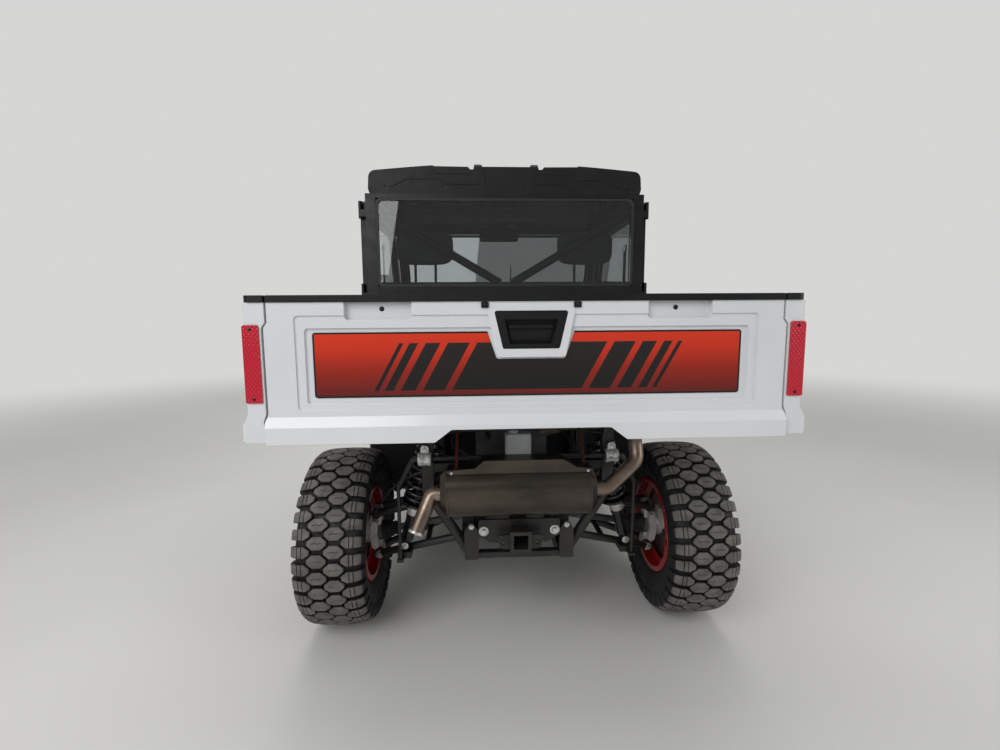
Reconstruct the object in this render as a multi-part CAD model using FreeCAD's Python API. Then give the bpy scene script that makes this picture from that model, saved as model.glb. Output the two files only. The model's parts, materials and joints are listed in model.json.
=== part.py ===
import FreeCAD, Part
import os
from math import atan2, cos, degrees, pi, radians, sin, sqrt, tan

# Side by side utility vehicle with a closed cab and a tipping cargo box.
# Millimetres. Z is up and 0 on the floor, Y runs from the front bumper to the tailgate,
# X is across, with the driver on the +X side. The origin is the middle of the whole length.

V = FreeCAD.Vector

# Whole vehicle
WHEELBASE = 2057.0
FRONT_OVERHANG = 378.0
REAR_OVERHANG = 655.0
REAR_AXLE_Y = 890.0
FRONT_AXLE_Y = REAR_AXLE_Y - WHEELBASE
FRONT_Y = FRONT_AXLE_Y - FRONT_OVERHANG
REAR_Y = REAR_AXLE_Y + REAR_OVERHANG
RUN_GAP = 0.3
PART_GAP = 6.0

# Wheels
TYRE_R = 343.0
TYRE_W = 250.0
WHEEL_X = 678.0
RIM_R = 178.0
RIM_W = 200.0
RIM_WALL = 7.0
FLANGE_H = 14.0
TREAD_H = 20.0
TREAD_PITCHES = 35
# Rows of the tread: from and to as parts of the half width, drop of the tips, turn in pitches
TREAD_ROWS = ((-0.944, -0.48, 4.0, 0.0), (-0.48, 0.0, 0.0, 0.5), (0.0, 0.48, 0.0, 0.0), (0.48, 0.944, 4.0, 0.5))
SPOKES = 8
HUB_R = 60.0
SPINDLE_R = 20.0
BRAKE_R = 125.0
AXLE_Z = TYRE_R

# Suspension, offsets across from the middle and along from the axle
KINGPIN_X = 590.0
UPRIGHT_X = 560.0
LOWER_BALL_Z = 262.0
UPPER_BALL_Z = 432.0
BALL_R = 20.0
ARM_IN_X = 190.0
ARM_IN_Z = 378.0
UPPER_IN_X = 200.0
UPPER_IN_Z = 520.0
ARM_SPREAD = 130.0
UPPER_SPREAD = 56.0
ARM_TUBE_R = 15.0
EYE_HALF = 24.0
EAR_T = 8.0
UPPER_PIN_R = 10.0
HOUSING_R = 46.0
POST_HALF = 20.0
LINK_X = 452.0
LINK_Y = REAR_AXLE_Y + 150.0
SHAFT_R = 14.0
DRIVE_Z = 418.0
ENGINE_Y1 = 730.0
ENGINE_X = 158.0
SHOCK_LOW_X = 440.0
SHOCK_TOP_X = 312.0
SHOCK_TOP_Z = 780.0
SHOCK_LOW_DY = 95.0
SHOCK_TOP_DY = 135.0
COIL_R = 55.0
COIL_WIRE_R = 7.5
COIL_TURNS = 7
COIL_START = 190.0
STEER_ARM = 100.0
RACK_DY = 130.0
RACK_R = 22.0
RACK_ROD_R = 10.0
RACK_Z = 430.0

# Frame
RAIL_X = 175.0
RAIL_SIZE = 50.0
RAIL_Z = 330.0
FRAME_REAR_Y = 1130.0
TOWER_X = 330.0
DECK_TOP_Z = 850.0
DECK_TUBE = 45.0
TOWER_ROWS = (500.0, 630.0, 1095.0)
FRONT_TOWER = 204.0
SILL_X = 560.0
SILL_R = 24.0
FLOOR_Z = 400.0
SHEET = 4.0
TOE_Y = -950.0

# Cab
CAB_X = 708.0
DOOR_T = 40.0
DOOR_FRONT_Y = -715.0
DOOR_REAR_Y = 400.0
DOOR_BOTTOM_Z = 480.0
DOOR_TOP_Z = 1790.0
WAIST_Z = 1150.0
PILLAR_X0 = 614.0
PILLAR_X1 = 662.0
PILLAR_Y0 = 408.0
PILLAR_Y1 = 478.0
SCREEN_LOW_Y = -700.0
SCREEN_LOW_Z = 1135.0
SCREEN_TOP_Y = -415.0
ROOF_LOW_Z = 1801.0
ROOF_TOP_Z = 1926.0
RIB_TOP_Z = 1940.0
ROOF_X = 647.0
ROOF_FRONT_Y = -520.0
ROOF_REAR_Y = 476.0
GLASS_T = 6.0
WINDOW_LOW_Z = 1372.0
HINGE_X = 700.0
HINGE_Y = 414.0
HINGE_R = 9.0
FRAME_GAP = 0.3

# Cargo box
BOX_INSIDE_W = 1378.0
BOX_SIDE_T = 56.0
BOX_X = BOX_INSIDE_W / 2 + BOX_SIDE_T
BOX_TOP_Z = 1274.0
RAIL_CAP_H = 18.0
RAIL_CAP_X = BOX_X + 3
BOX_DEPTH = 318.0
BOX_FRONT_Y = 505.0
BOX_WALL_FRONT = 32.0
BOX_LOW_Z = 885.0
GATE_T = 60.0
BAND_T = 15.0
GATE_IN_Y = REAR_Y - BAND_T - GATE_T
GATE_X = BOX_X - 40
GATE_MID_X = GATE_X - 7
GATE_TOP_X = GATE_X - 17
GATE_LOW_Z = 881.0
BAND_TOP_Z = 940.0
BOX_FLOOR_T = 20.0
GATE_PIN_Y = GATE_IN_Y + GATE_T / 2
GATE_PIN_Z = 899.0
GATE_PIN_R = 8.0
GATE_PIN_L = 20.0
PIVOT_Y = 1150.0
PIVOT_Z = 868.0
PIN_R = 10.0
ANCHOR_X = BOX_X - 23
ANCHOR_ROWS = (700.0, 1300.0)
ANCHOR_R = 5.5
ANCHOR_DEPTH = 40.0

# Exhaust
MUFFLER_Y = 1225.0
MUFFLER_Z = 625.0
MUFFLER_X0 = -254.0
MUFFLER_X1 = 275.0
MUFFLER_H = 83.0
MUFFLER_D = 62.0
HANGER_X = 221.0
HANGER_R = 5.0
PIPE_R = 25.0
PIPE_WALL = 2.0

# Towing receiver
RECEIVER = 50.8
RECEIVER_OUT = 64.0
RECEIVER_Z = 431.0
RECEIVER_Y = 1215.0
RECEIVER_L = 170.0
HITCH_PIN_R = 8.0


def point(normal, level, u, v):
    """A point on the plane square to the named axis; u and v are the other two, in X Y Z order."""
    if normal == "x":
        return V(level, u, v)
    if normal == "y":
        return V(u, level, v)
    return V(u, v, level)


def rounded(before, here, after, r):
    """Start, middle and end of a corner's arc; short sides limit its radius to what they can hold."""
    back = before - here
    ahead = after - here
    room = 0.48 * min(back.Length, ahead.Length)
    back.normalize()
    ahead.normalize()
    half = back.getAngle(ahead) / 2
    reach = min(r / tan(half), room)
    r = reach * tan(half)
    middle = here + (back + ahead).normalize() * (r / sin(half) - r)
    return here + back * reach, middle, here + ahead * reach


def loop(normal, level, corners):
    """A closed outline through corners (u, v, corner radius)."""
    places = [point(normal, level, corner[0], corner[1]) for corner in corners]
    marks = []
    for i, corner in enumerate(corners):
        here = places[i]
        r = corner[2] if len(corner) > 2 else 0
        if r == 0:
            marks.append((here, None, here))
            continue
        marks.append(rounded(places[i - 1], here, places[(i + 1) % len(places)], r))
    edges = []
    for i, (start, middle, end) in enumerate(marks):
        if middle is not None:
            edges.append(Part.Arc(start, middle, end).toShape())
        following = marks[(i + 1) % len(marks)][0]
        if (following - end).Length > 1e-6:
            edges.append(Part.LineSegment(end, following).toShape())
    return Part.Wire(edges)


def plate(normal, low, high, corners, holes=()):
    """A flat piece between two levels of one axis, with holes given as outlines."""
    travel = point(normal, high - low, 0, 0)
    solid = Part.Face(loop(normal, low, corners)).extrude(travel)
    for hole in holes:
        solid = solid.cut(Part.Face(loop(normal, low - 1, hole)).extrude(travel * (1 + 2 / (high - low))))
    return solid


def box(x0, x1, y0, y1, z0, z1):
    return Part.makeBox(x1 - x0, y1 - y0, z1 - z0, V(x0, y0, z0))


def bar(start, end, r):
    return Part.makeCylinder(r, (end - start).Length, start, end - start)


def across(x0, x1, y, z, r):
    """A round bar along X."""
    return bar(V(x0, y, z), V(x1, y, z), r)


def pipe(points, r, bend, bore=0):
    """A round tube along straight runs joined by arcs of one bend radius."""
    edges = []
    last = points[0]
    for i in range(1, len(points) - 1):
        start, middle, end = rounded(points[i - 1], points[i], points[i + 1], bend)
        edges.append(Part.LineSegment(last, start).toShape())
        edges.append(Part.Arc(start, middle, end).toShape())
        last = end
    edges.append(Part.LineSegment(last, points[-1]).toShape())
    path = Part.Wire(edges)
    heading = points[1] - points[0]
    solid = path.makePipeShell([Part.Wire(Part.makeCircle(r, points[0], heading))], True, True)
    if bore:
        inner = path.makePipeShell([Part.Wire(Part.makeCircle(bore, points[0], heading))], True, True)
        solid = solid.cut(inner)
    return solid


def turned(corners, centre=V(0, 0, 0), axis=V(1, 0, 0)):
    """A solid of revolution about X from an outline of (along X, radius, corner radius)."""
    solid = Part.Face(loop("z", 0, corners)).revolve(V(0, 0, 0), V(1, 0, 0), 360)
    if axis != V(1, 0, 0):
        solid.Placement = FreeCAD.Placement(V(0, 0, 0), FreeCAD.Rotation(V(1, 0, 0), axis))
        solid = Part.makeCompound([solid]).Solids[0]
    solid.translate(centre)
    return solid


def fused(first, *others):
    return first.fuse(list(others)).removeSplitter() if others else first


def mirrored(shape):
    return shape.mirror(V(0, 0, 0), V(1, 0, 0))


def both(shape):
    return [shape, mirrored(shape)]


def save(node, *shapes):
    solids = [solid for shape in shapes for solid in shape.Solids]
    for solid in solids:
        if solid.Volume < 0:
            solid.reverse()
    whole = solids[0] if len(solids) == 1 else Part.makeCompound(solids)
    if not solids or not whole.isValid():
        print("not valid", node)
    whole.exportStep("parts/" + node + ".step")


# Wheels

def rim():
    """Rim with its disc, hub and brake rotor about the origin, outer side to +X."""
    half = RIM_W / 2
    seat = RIM_R - RUN_GAP
    well = RIM_R - 20
    wall = RIM_WALL
    barrel = turned([
        (-half, RIM_R + FLANGE_H, 3), (-half + 8, RIM_R + FLANGE_H, 3), (-half + 8, seat), (-60, seat, 4),
        (-48, well, 4), (20, well, 4), (38, seat, 4), (half - 8, seat), (half - 8, RIM_R + FLANGE_H, 3),
        (half, RIM_R + FLANGE_H, 3), (half, seat - wall), (41, seat - wall, 4), (23, well - wall, 4),
        (-51, well - wall, 4), (-63, seat - wall, 4), (-half, seat - wall)])
    face = turned([(44, seat - wall + 1), (56, seat - wall + 1), (40, HUB_R, 10), (40, 0), (26, 0),
                   (26, HUB_R, 10)])
    inner, outer = HUB_R + 18, seat - wall - 18
    for i in range(SPOKES):
        turn = 360.0 / SPOKES * i
        window = plate("x", 0, 80, [(-16, inner, 6), (16, inner, 6), (34, outer, 10), (-34, outer, 10)])
        window.rotate(V(0, 0, 0), V(1, 0, 0), turn)
        face = face.cut(window)
    hub = turned([(-60, SPINDLE_R + RUN_GAP), (-60, HUB_R - 22, 3), (-52, HUB_R), (-52, BRAKE_R), (-46, BRAKE_R),
                  (-46, HUB_R), (27, HUB_R), (27, 0), (16, 0), (16, SPINDLE_R + RUN_GAP)])
    return fused(barrel, face, hub)


def tread_row(x0, x1, drop, turn):
    """One row of lugs as a toothed disc; the edge of a lug stands on the floor."""
    tip = TYRE_R - drop
    root = TYRE_R - TREAD_H
    half_root, half_tip = 0.33, 0.26
    places = []
    for i in range(TREAD_PITCHES):
        for along, r in ((-half_root, root), (-half_tip, tip), (half_tip, tip), (half_root, root)):
            angle = 2 * pi * (i + turn + half_tip + along) / TREAD_PITCHES
            places.append(V(x0, r * sin(angle), -r * cos(angle)))
    disc = Part.Face(Part.makePolygon(places + places[:1])).extrude(V(x1 - x0, 0, 0))
    return disc.cut(across(x0 - 1, x1 + 1, 0, 0, root - 50))


def tyre():
    """Tyre about the origin: bead, sidewall and four rows of lugs, staggered by half a pitch."""
    half = TYRE_W / 2
    bead = RIM_W / 2 - 8
    wall = [(-bead, RIM_R), (-bead, RIM_R + FLANGE_H + 4), (-half + 11, RIM_R + 42), (-half + 1, RIM_R + 76),
            (-half, TYRE_R - 68), (half * TREAD_ROWS[0][0], TYRE_R - TREAD_H - 16)]
    casing = turned(wall + [(-x, r) for x, r in reversed(wall)])
    rows = [tread_row(half * low, half * high, drop, turn) for low, high, drop, turn in TREAD_ROWS]
    return casing.fuse(rows).removeSplitter().Solids[0]


def wheels():
    for end, y in (("front", FRONT_AXLE_Y), ("rear", REAR_AXLE_Y)):
        for side, sign in (("left", 1), ("right", -1)):
            for name, shape in (("rim", rim()), ("tyre", tyre())):
                shape.translate(V(WHEEL_X, y, AXLE_Z))
                save(name + "_" + end + "_" + side, shape if sign > 0 else mirrored(shape))


# Suspension

def caliper(y, behind):
    """Brake caliper that straddles the rotor, at 45 degrees above the axle."""
    body = plate("x", WHEEL_X - 78, WHEEL_X - 25, [(-34, 92, 6), (34, 92, 6), (34, 143, 8), (-34, 143, 8)])
    slot = box(WHEEL_X - 52 - PART_GAP, WHEEL_X - 46 + PART_GAP, -40, 40, 60, BRAKE_R + PART_GAP)
    body = body.cut(slot)
    body.rotate(V(0, 0, 0), V(1, 0, 0), 55 if behind < 0 else -55)
    body.translate(V(0, y, AXLE_Z))
    return body


def spindle(y, inner_x):
    """Bearing housing and stub that carry a hub."""
    face = WHEEL_X - 60
    housing = across(inner_x, face, y, AXLE_Z, HOUSING_R)
    stub = across(face - 2, WHEEL_X + 10, y, AXLE_Z, SPINDLE_R)
    return fused(housing, stub)


def front_knuckle():
    y = FRONT_AXLE_Y
    ball = Part.makeSphere(HOUSING_R + 2, V(KINGPIN_X, y, AXLE_Z))
    ball = ball.cut(box(WHEEL_X - 62, WHEEL_X, y - 100, y + 100, AXLE_Z - 100, AXLE_Z + 100))
    post = bar(V(KINGPIN_X, y, LOWER_BALL_Z), V(KINGPIN_X, y, UPPER_BALL_Z), BALL_R + 2)
    arm = plate("z", LOWER_BALL_Z + 38, LOWER_BALL_Z + 54, [
        (KINGPIN_X - 14, y + 10), (KINGPIN_X + 14, y + 10), (KINGPIN_X - 2, y + STEER_ARM + 14, 12),
        (KINGPIN_X - 28, y + STEER_ARM + 14, 12)])
    web = box(WHEEL_X - 78, WHEEL_X - 62, y - 92, y, AXLE_Z + 16, AXLE_Z + 84)
    return fused(ball, spindle(y, KINGPIN_X), post, arm, web, caliper(y, -1))


def rear_knuckle():
    y = REAR_AXLE_Y
    post = plate("y", y - POST_HALF, y + POST_HALF, [
        (UPRIGHT_X - 20, LOWER_BALL_Z - 14, 14), (UPRIGHT_X + 14, LOWER_BALL_Z - 14, 14),
        (UPRIGHT_X + 50, AXLE_Z, 40), (UPRIGHT_X + 20, UPPER_BALL_Z + 18, 14),
        (UPRIGHT_X - 16, UPPER_BALL_Z + 18, 14), (UPRIGHT_X - 8, AXLE_Z, 40)])
    web = box(WHEEL_X - 78, WHEEL_X - 62, y, y + 92, AXLE_Z + 16, AXLE_Z + 84)
    spine = plate("y", y + POST_HALF - 2, y + HOUSING_R + 10, [
        (UPRIGHT_X - 6, AXLE_Z - 52, 10), (UPRIGHT_X + 20, AXLE_Z - 52, 10), (UPRIGHT_X + 30, AXLE_Z, 30),
        (UPRIGHT_X + 20, AXLE_Z + 60, 10), (UPRIGHT_X - 4, AXLE_Z + 60, 10), (UPRIGHT_X + 2, AXLE_Z, 30)])
    return fused(post, spine, spindle(y, UPRIGHT_X + 2), web, caliper(y, 1))


def shock_line(axle_y, way):
    low = V(SHOCK_LOW_X, axle_y + way * SHOCK_LOW_DY, LOWER_BALL_Z + 66)
    top = V(SHOCK_TOP_X, axle_y + way * SHOCK_TOP_DY, SHOCK_TOP_Z)
    return low, top


def wishbone(outer, inner_x, inner_z, axle_y, spread, eye):
    """Two tubes from the inner pivots to the outer joint, and a cross tube between them."""
    legs = []
    for way in (-1, 1):
        inner = V(inner_x, axle_y + way * spread, inner_z)
        tip = outer + V(0, way * eye, 0)
        legs.append(bar(inner, tip, ARM_TUBE_R))
        legs.append(bar(inner - V(0, EYE_HALF, 0), inner + V(0, EYE_HALF, 0), ARM_TUBE_R + 4))
    middle = outer * 0.45 + V(inner_x, axle_y, inner_z) * 0.55
    half = spread * 0.55 + eye * 0.45
    legs.append(bar(middle - V(0, half, 0), middle + V(0, half, 0), ARM_TUBE_R - 4))
    return legs


def front_arms():
    y = FRONT_AXLE_Y
    lower = wishbone(V(KINGPIN_X - 12, y, LOWER_BALL_Z - 20), ARM_IN_X, ARM_IN_Z, y, ARM_SPREAD, 8)
    lower.append(bar(V(KINGPIN_X, y, LOWER_BALL_Z - 38), V(KINGPIN_X, y, LOWER_BALL_Z), BALL_R))
    low, top = shock_line(y, -1)
    lower.append(box(SHOCK_LOW_X - 26, SHOCK_LOW_X + 26, low.y - 34, low.y + 34, low.z - 44, low.z - 20))
    upper = wishbone(V(KINGPIN_X - 12, y, UPPER_BALL_Z + 21), UPPER_IN_X, UPPER_IN_Z, y, UPPER_SPREAD, 8)
    upper.append(bar(V(KINGPIN_X, y, UPPER_BALL_Z), V(KINGPIN_X, y, UPPER_BALL_Z + 38), BALL_R))
    return fused(*lower), fused(*upper)


def rear_arms():
    y = REAR_AXLE_Y
    lower_end = V(UPRIGHT_X - 4, y, LOWER_BALL_Z)
    lower = wishbone(lower_end, ARM_IN_X, ARM_IN_Z, y, ARM_SPREAD, POST_HALF + 16)
    for way in (-1, 1):
        lower.append(bar(lower_end + V(0, way * POST_HALF, 0), lower_end + V(0, way * (POST_HALF + 26), 0), BALL_R))
    low, top = shock_line(y, 1)
    lower.append(box(SHOCK_LOW_X - 26, SHOCK_LOW_X + 26, low.y - 34, low.y + 34, low.z - 44, low.z - 20))
    upper_end = V(UPRIGHT_X + 2, y, UPPER_BALL_Z)
    upper = wishbone(upper_end, UPPER_IN_X, UPPER_IN_Z, y, UPPER_SPREAD, POST_HALF + 17)
    for way in (-1, 1):
        upper.append(bar(upper_end + V(0, way * POST_HALF, 0), upper_end + V(0, way * (POST_HALF + 26), 0), BALL_R))
    tab = box(LINK_X - 12, LINK_X + 12, low.y, LINK_Y + 12, low.z - 44, low.z - 34)
    return fused(*lower, tab), fused(*upper)


def shock(axle_y, way):
    """Damper with its two eyes and the spring round it, whose turns stand out as ridges."""
    low, top = shock_line(axle_y, way)
    length = (top - low).Length
    first, last = COIL_START, length - 62.0
    pitch = (last - first) / COIL_TURNS
    core = COIL_R - 2.2 * COIL_WIRE_R
    profile = [(-20, 0), (-20, 16), (20, 16), (26, 26), (first - 14, 26), (first - 10, COIL_R), (first, COIL_R),
               (first, core)]
    for turn in range(COIL_TURNS):
        start = first + pitch * turn
        profile += [(start + pitch * 0.3, core), (start + pitch * 0.4, COIL_R), (start + pitch * 0.7, COIL_R),
                    (start + pitch * 0.8, core)]
    profile += [(last, core), (last, COIL_R), (last + 8, COIL_R), (last + 18, 16), (length - RUN_GAP, 16),
                (length - RUN_GAP, 0)]
    return turned(profile, low, (top - low).normalize())


def half_shaft(axle_y, outer_x):
    """Shaft between its two boots."""
    inner = V(100, axle_y, DRIVE_Z)
    outer = V(outer_x, axle_y, AXLE_Z)
    way = (outer - inner).normalize()
    return fused(bar(inner, outer, SHAFT_R), Part.makeCone(42, 22, 80, inner + way * 24, way), bar(inner, inner + way * 24, 42),
                 Part.makeCone(22, 38, 60, outer - way * 74, way), bar(outer - way * 14, outer, 38))


def drives():
    """Front drive and rear transaxle, each with its two half shafts."""
    near = KINGPIN_X - HOUSING_R - 2 - RUN_GAP
    beyond = box(near, near + 100, FRONT_AXLE_Y - 80, FRONT_AXLE_Y + 80, AXLE_Z - 80, AXLE_Z + 80)
    front_shaft = half_shaft(FRONT_AXLE_Y, near + 8).cut(beyond)
    case = fused(box(-108, 108, FRONT_AXLE_Y - 80, FRONT_AXLE_Y + 60, RAIL_Z + 20, 480),
                 across(-112, 112, FRONT_AXLE_Y, DRIVE_Z, 46))
    save("front_drive", fused(case, *both(front_shaft)))
    rear_shaft = half_shaft(REAR_AXLE_Y, UPRIGHT_X).cut(rear_knuckle())
    rear_shaft = max(rear_shaft.Solids, key=lambda piece: piece.Volume)
    case = fused(box(-108, 108, ENGINE_Y1, 990, RAIL_Z + 20, 600), across(-112, 112, REAR_AXLE_Y, DRIVE_Z, 46))
    save("rear_drive", fused(case, *both(rear_shaft)))


def suspension():
    for side, shape in zip(("left", "right"), both(front_knuckle())):
        save("knuckle_front_" + side, shape)
    save("knuckles_rear", *both(rear_knuckle()))
    shocks = [shock(FRONT_AXLE_Y, -1), shock(REAR_AXLE_Y, 1)]
    save("shocks", *both(shocks[0]), *both(shocks[1]))
    arms = []
    for pair, near, axle_y in ((front_arms(), shocks[0], FRONT_AXLE_Y), (rear_arms(), shocks[1], REAR_AXLE_Y)):
        for arm in pair:
            arms += both(arm.cut(near).cut(upper_pin(1, axle_y, RUN_GAP)))
    save("arms", *arms)


def rack():
    """Sliding steering rack with its two tie rods, over the ends of the steering arms."""
    y = FRONT_AXLE_Y + RACK_DY
    eye_y = FRONT_AXLE_Y + STEER_ARM
    end_z = LOWER_BALL_Z + 54
    eye_x = KINGPIN_X - 15
    pieces = [across(-252, 252, y, RACK_Z, RACK_ROD_R)]
    for sign in (-1, 1):
        eye = V(sign * eye_x, eye_y, end_z)
        pieces.append(bar(eye, eye + V(0, 0, 26), 13))
        pieces.append(bar(V(sign * 250, y, RACK_Z), eye + V(-sign * 4, 0, 16), 8))
        pieces.append(bar(V(sign * 238, y, RACK_Z), V(sign * 262, y, RACK_Z), 15))
    save("steering_rack", fused(*pieces))


def rack_housing():
    y = FRONT_AXLE_Y + RACK_DY
    return across(-165, 165, y, RACK_Z, RACK_R).cut(across(-170, 170, y, RACK_Z, RACK_ROD_R + RUN_GAP))


# Frame

def upper_pin(sign, axle_y, clearance):
    """Bolt that both eyes of an upper arm turn on."""
    reach = UPPER_SPREAD + EYE_HALF
    return bar(V(sign * UPPER_IN_X, axle_y - reach, UPPER_IN_Z), V(sign * UPPER_IN_X, axle_y + reach, UPPER_IN_Z),
               UPPER_PIN_R + clearance)


def ladder():
    """Lower rails, their crossmembers and the ears of the arms' inner pivots."""
    half = RAIL_SIZE / 2
    front, rear = FRONT_Y + 150, FRAME_REAR_Y
    rack_y = FRONT_AXLE_Y + RACK_DY
    parts = []
    for x in (-RAIL_X, RAIL_X):
        parts.append(plate("x", x - half, x + half, [
            (front, RAIL_Z - half), (rear - 70, RAIL_Z - half), (rear, RAIL_Z + 4), (rear, RAIL_Z + half),
            (front, RAIL_Z + half)]))
    for y in (front + 30, FRONT_AXLE_Y, rack_y, -640.0, -100.0, PILLAR_Y0 + 24, REAR_AXLE_Y - 230, REAR_AXLE_Y):
        parts.append(box(-RAIL_X, RAIL_X, y - 20, y + 20, RAIL_Z - 20, RAIL_Z + 20))
    parts.append(box(-RAIL_X, RAIL_X, rear - 30, rear, RAIL_Z + 4, RAIL_Z + half))
    for axle_y in (FRONT_AXLE_Y, REAR_AXLE_Y):
        for sign in (-1, 1):
            x0, x1 = sorted((sign * (RAIL_X - 5), sign * (UPPER_IN_X + 14)))
            parts.append(upper_pin(sign, axle_y, 0))
            for way in (-1, 1):
                for spread, side, top in ((ARM_SPREAD, -1, ARM_IN_Z + 20), (ARM_SPREAD, 1, ARM_IN_Z + 20),
                                          (UPPER_SPREAD, 1, UPPER_IN_Z + 20)):
                    y = axle_y + way * (spread + side * (EYE_HALF + EAR_T / 2))
                    parts.append(box(x0, x1, y - EAR_T / 2, y + EAR_T / 2, RAIL_Z, top))
    for x in (-130, 130):
        parts.append(box(x - 8, x + 8, rack_y - 26, rack_y + 26, RAIL_Z, RACK_Z))
    whole = fused(*parts).cut(across(-165, 165, rack_y, RACK_Z, RACK_R))
    return fused(whole, rack_housing())


def deck():
    """Deck that carries the cargo box, on its posts and struts."""
    tube = DECK_TUBE / 2
    middle = DECK_TOP_Z - tube
    parts = []
    for x in (-TOWER_X, TOWER_X):
        foot_x = RAIL_X if x > 0 else -RAIL_X
        parts.append(box(x - tube, x + tube, PILLAR_Y1, 1120, middle - tube, DECK_TOP_Z))
        for y in TOWER_ROWS:
            parts.append(box(x - tube + 2, x + tube - 2, y - tube + 4, y + tube - 4, 560, middle))
            parts.append(bar(V(x, y, 575), V(foot_x, y, RAIL_Z), tube - 4))
    for y in (PILLAR_Y1 + tube, REAR_AXLE_Y - 260, TOWER_ROWS[-1]):
        parts.append(box(-TOWER_X, TOWER_X, y - tube + 4, y + tube - 4, middle - tube + 4, DECK_TOP_Z - 4))
    parts.append(box(-TOWER_X, TOWER_X, TOWER_ROWS[-1] - 14, TOWER_ROWS[-1] + 14, 660, 690))
    y = REAR_AXLE_Y + SHOCK_TOP_DY
    parts.append(box(-TOWER_X, TOWER_X, y - 16, y + 16, SHOCK_TOP_Z + 10, DECK_TOP_Z - 6))
    # Pads under the cargo box and the two forked ears of its hinge
    for x in (-TOWER_X, TOWER_X):
        for y in (560.0, 820.0):
            parts.append(box(x - 18, x + 18, y - 30, y + 30, DECK_TOP_Z - 1, BOX_LOW_Z - PART_GAP))
        parts.append(box(x - 30, x + 30, 1090, 1119, middle - tube, DECK_TOP_Z))
        for side in (-1, 1):
            parts.append(plate("x", x + side * 23 - 6, x + side * 23 + 6, [
                (1100, middle - tube), (PIVOT_Y + 10, middle - tube, 8), (PIVOT_Y + 20, PIVOT_Z, 6),
                (PIVOT_Y + 12, PIVOT_Z + 14, 6), (PIVOT_Y - 12, PIVOT_Z + 14, 6), (1100, DECK_TOP_Z, 6)]))
        parts.append(across(x - 28, x + 28, PIVOT_Y, PIVOT_Z, PIN_R))
    return fused(*parts).cut(ladder())


def front_towers():
    """Bridge over the front axle that the front shocks hang from."""
    seat_z = SHOCK_TOP_Z + 10
    y = FRONT_AXLE_Y - SHOCK_TOP_DY
    parts = [box(-TOWER_X, TOWER_X, y - 18, y + 18, seat_z, seat_z + 38)]
    for x in (-TOWER_X, TOWER_X):
        foot_x = RAIL_X if x > 0 else -RAIL_X
        parts.append(box(x - 30, x + 20, FRONT_AXLE_Y - FRONT_TOWER - 18, FRONT_AXLE_Y + 208, seat_z, seat_z + 38))
        for end_y in (FRONT_AXLE_Y - FRONT_TOWER, FRONT_AXLE_Y + 190):
            parts.append(bar(V(x, end_y, seat_z + 18), V(foot_x, end_y, RAIL_Z), 18))
    return fused(*parts).cut(ladder())


def outriggers():
    """Sill tubes under the doors and the cross tubes that carry them."""
    sill_z = FLOOR_Z - SILL_R - SHEET
    parts = []
    for y in (-640.0, -100.0, PILLAR_Y0 + 24):
        parts.append(across(-SILL_X, SILL_X, y, sill_z, SILL_R - 6))
        for x in (-RAIL_X, RAIL_X):
            parts.append(box(x - 16, x + 16, y - 16, y + 16, RAIL_Z, sill_z))
    for x in (-SILL_X, SILL_X):
        parts.append(bar(V(x, -690, sill_z), V(x, PILLAR_Y1 - 20, sill_z), SILL_R))
    return fused(*parts).cut(ladder())


def hitch():
    """Square receiver on a plate across the frame's rear end, with a skirt round its mouth."""
    half = RECEIVER_OUT / 2
    tube = box(-half, half, RECEIVER_Y - RECEIVER_L, RECEIVER_Y, RECEIVER_Z - half, RECEIVER_Z + half)
    collar = box(-half - 6, half + 6, RECEIVER_Y - 14, RECEIVER_Y, RECEIVER_Z - half - 6, RECEIVER_Z + half + 6)
    hole = RECEIVER / 2
    socket = box(-hole, hole, RECEIVER_Y - RECEIVER_L - 1, RECEIVER_Y + 1, RECEIVER_Z - hole, RECEIVER_Z + hole)
    pin = across(-half - 8, half + 8, RECEIVER_Y - 65, RECEIVER_Z, HITCH_PIN_R)
    face = plate("y", FRAME_REAR_Y, FRAME_REAR_Y + 10, [
        (-150, 485, 12), (-150, 425, 16), (-105, 398, 12), (105, 398, 12), (150, 425, 16), (150, 485, 12)])
    arms = []
    for x in (-RAIL_X, RAIL_X):
        arms.append(plate("y", FRAME_REAR_Y, FRAME_REAR_Y + 10, [
            (x - 26, RAIL_Z + 4, 6), (x + 26, RAIL_Z + 4, 6), (x + 26, 440, 10), (x, 485, 10), (x - 26, 440, 10)]))
    skirt = plate("y", RECEIVER_Y - 38, RECEIVER_Y - 30, [
        (-86, 446, 14), (-72, 394, 16), (72, 394, 16), (86, 446, 14)])
    for x in (-62, 62):
        skirt = skirt.cut(bar(V(x, RECEIVER_Y - 50, 420), V(x, RECEIVER_Y, 420), 9))
    return fused(tube, collar, face, skirt, *arms).cut(socket).cut(pin)


# Floor and sides

def floor():
    """Cab floor, toe board and the seat's front wall as one folded sheet, open at the sides."""
    top = FLOOR_Z
    low = FLOOR_Z - SHEET
    wide = box(-660, 660, -750, PILLAR_Y0 - 8, low, top)
    nose = box(-370, 370, TOE_Y, -750, low, top)
    toe = plate("x", -370, 370, [(TOE_Y, low), (TOE_Y + SHEET, low), (TOE_Y + 70 + SHEET, 950), (TOE_Y + 70, 950)])
    wings = []
    for sign in (-1, 1):
        wings.append(box(*sorted((sign * 366, sign * 660)), -750, -750 + SHEET, low, 950))
        wings.append(plate("x", *sorted((sign * 366, sign * 370)), [
            (-750, low), (-750, 950), (TOE_Y + 70, 950), (TOE_Y, low)]))
    return fused(wide, nose, toe, *wings)


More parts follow.
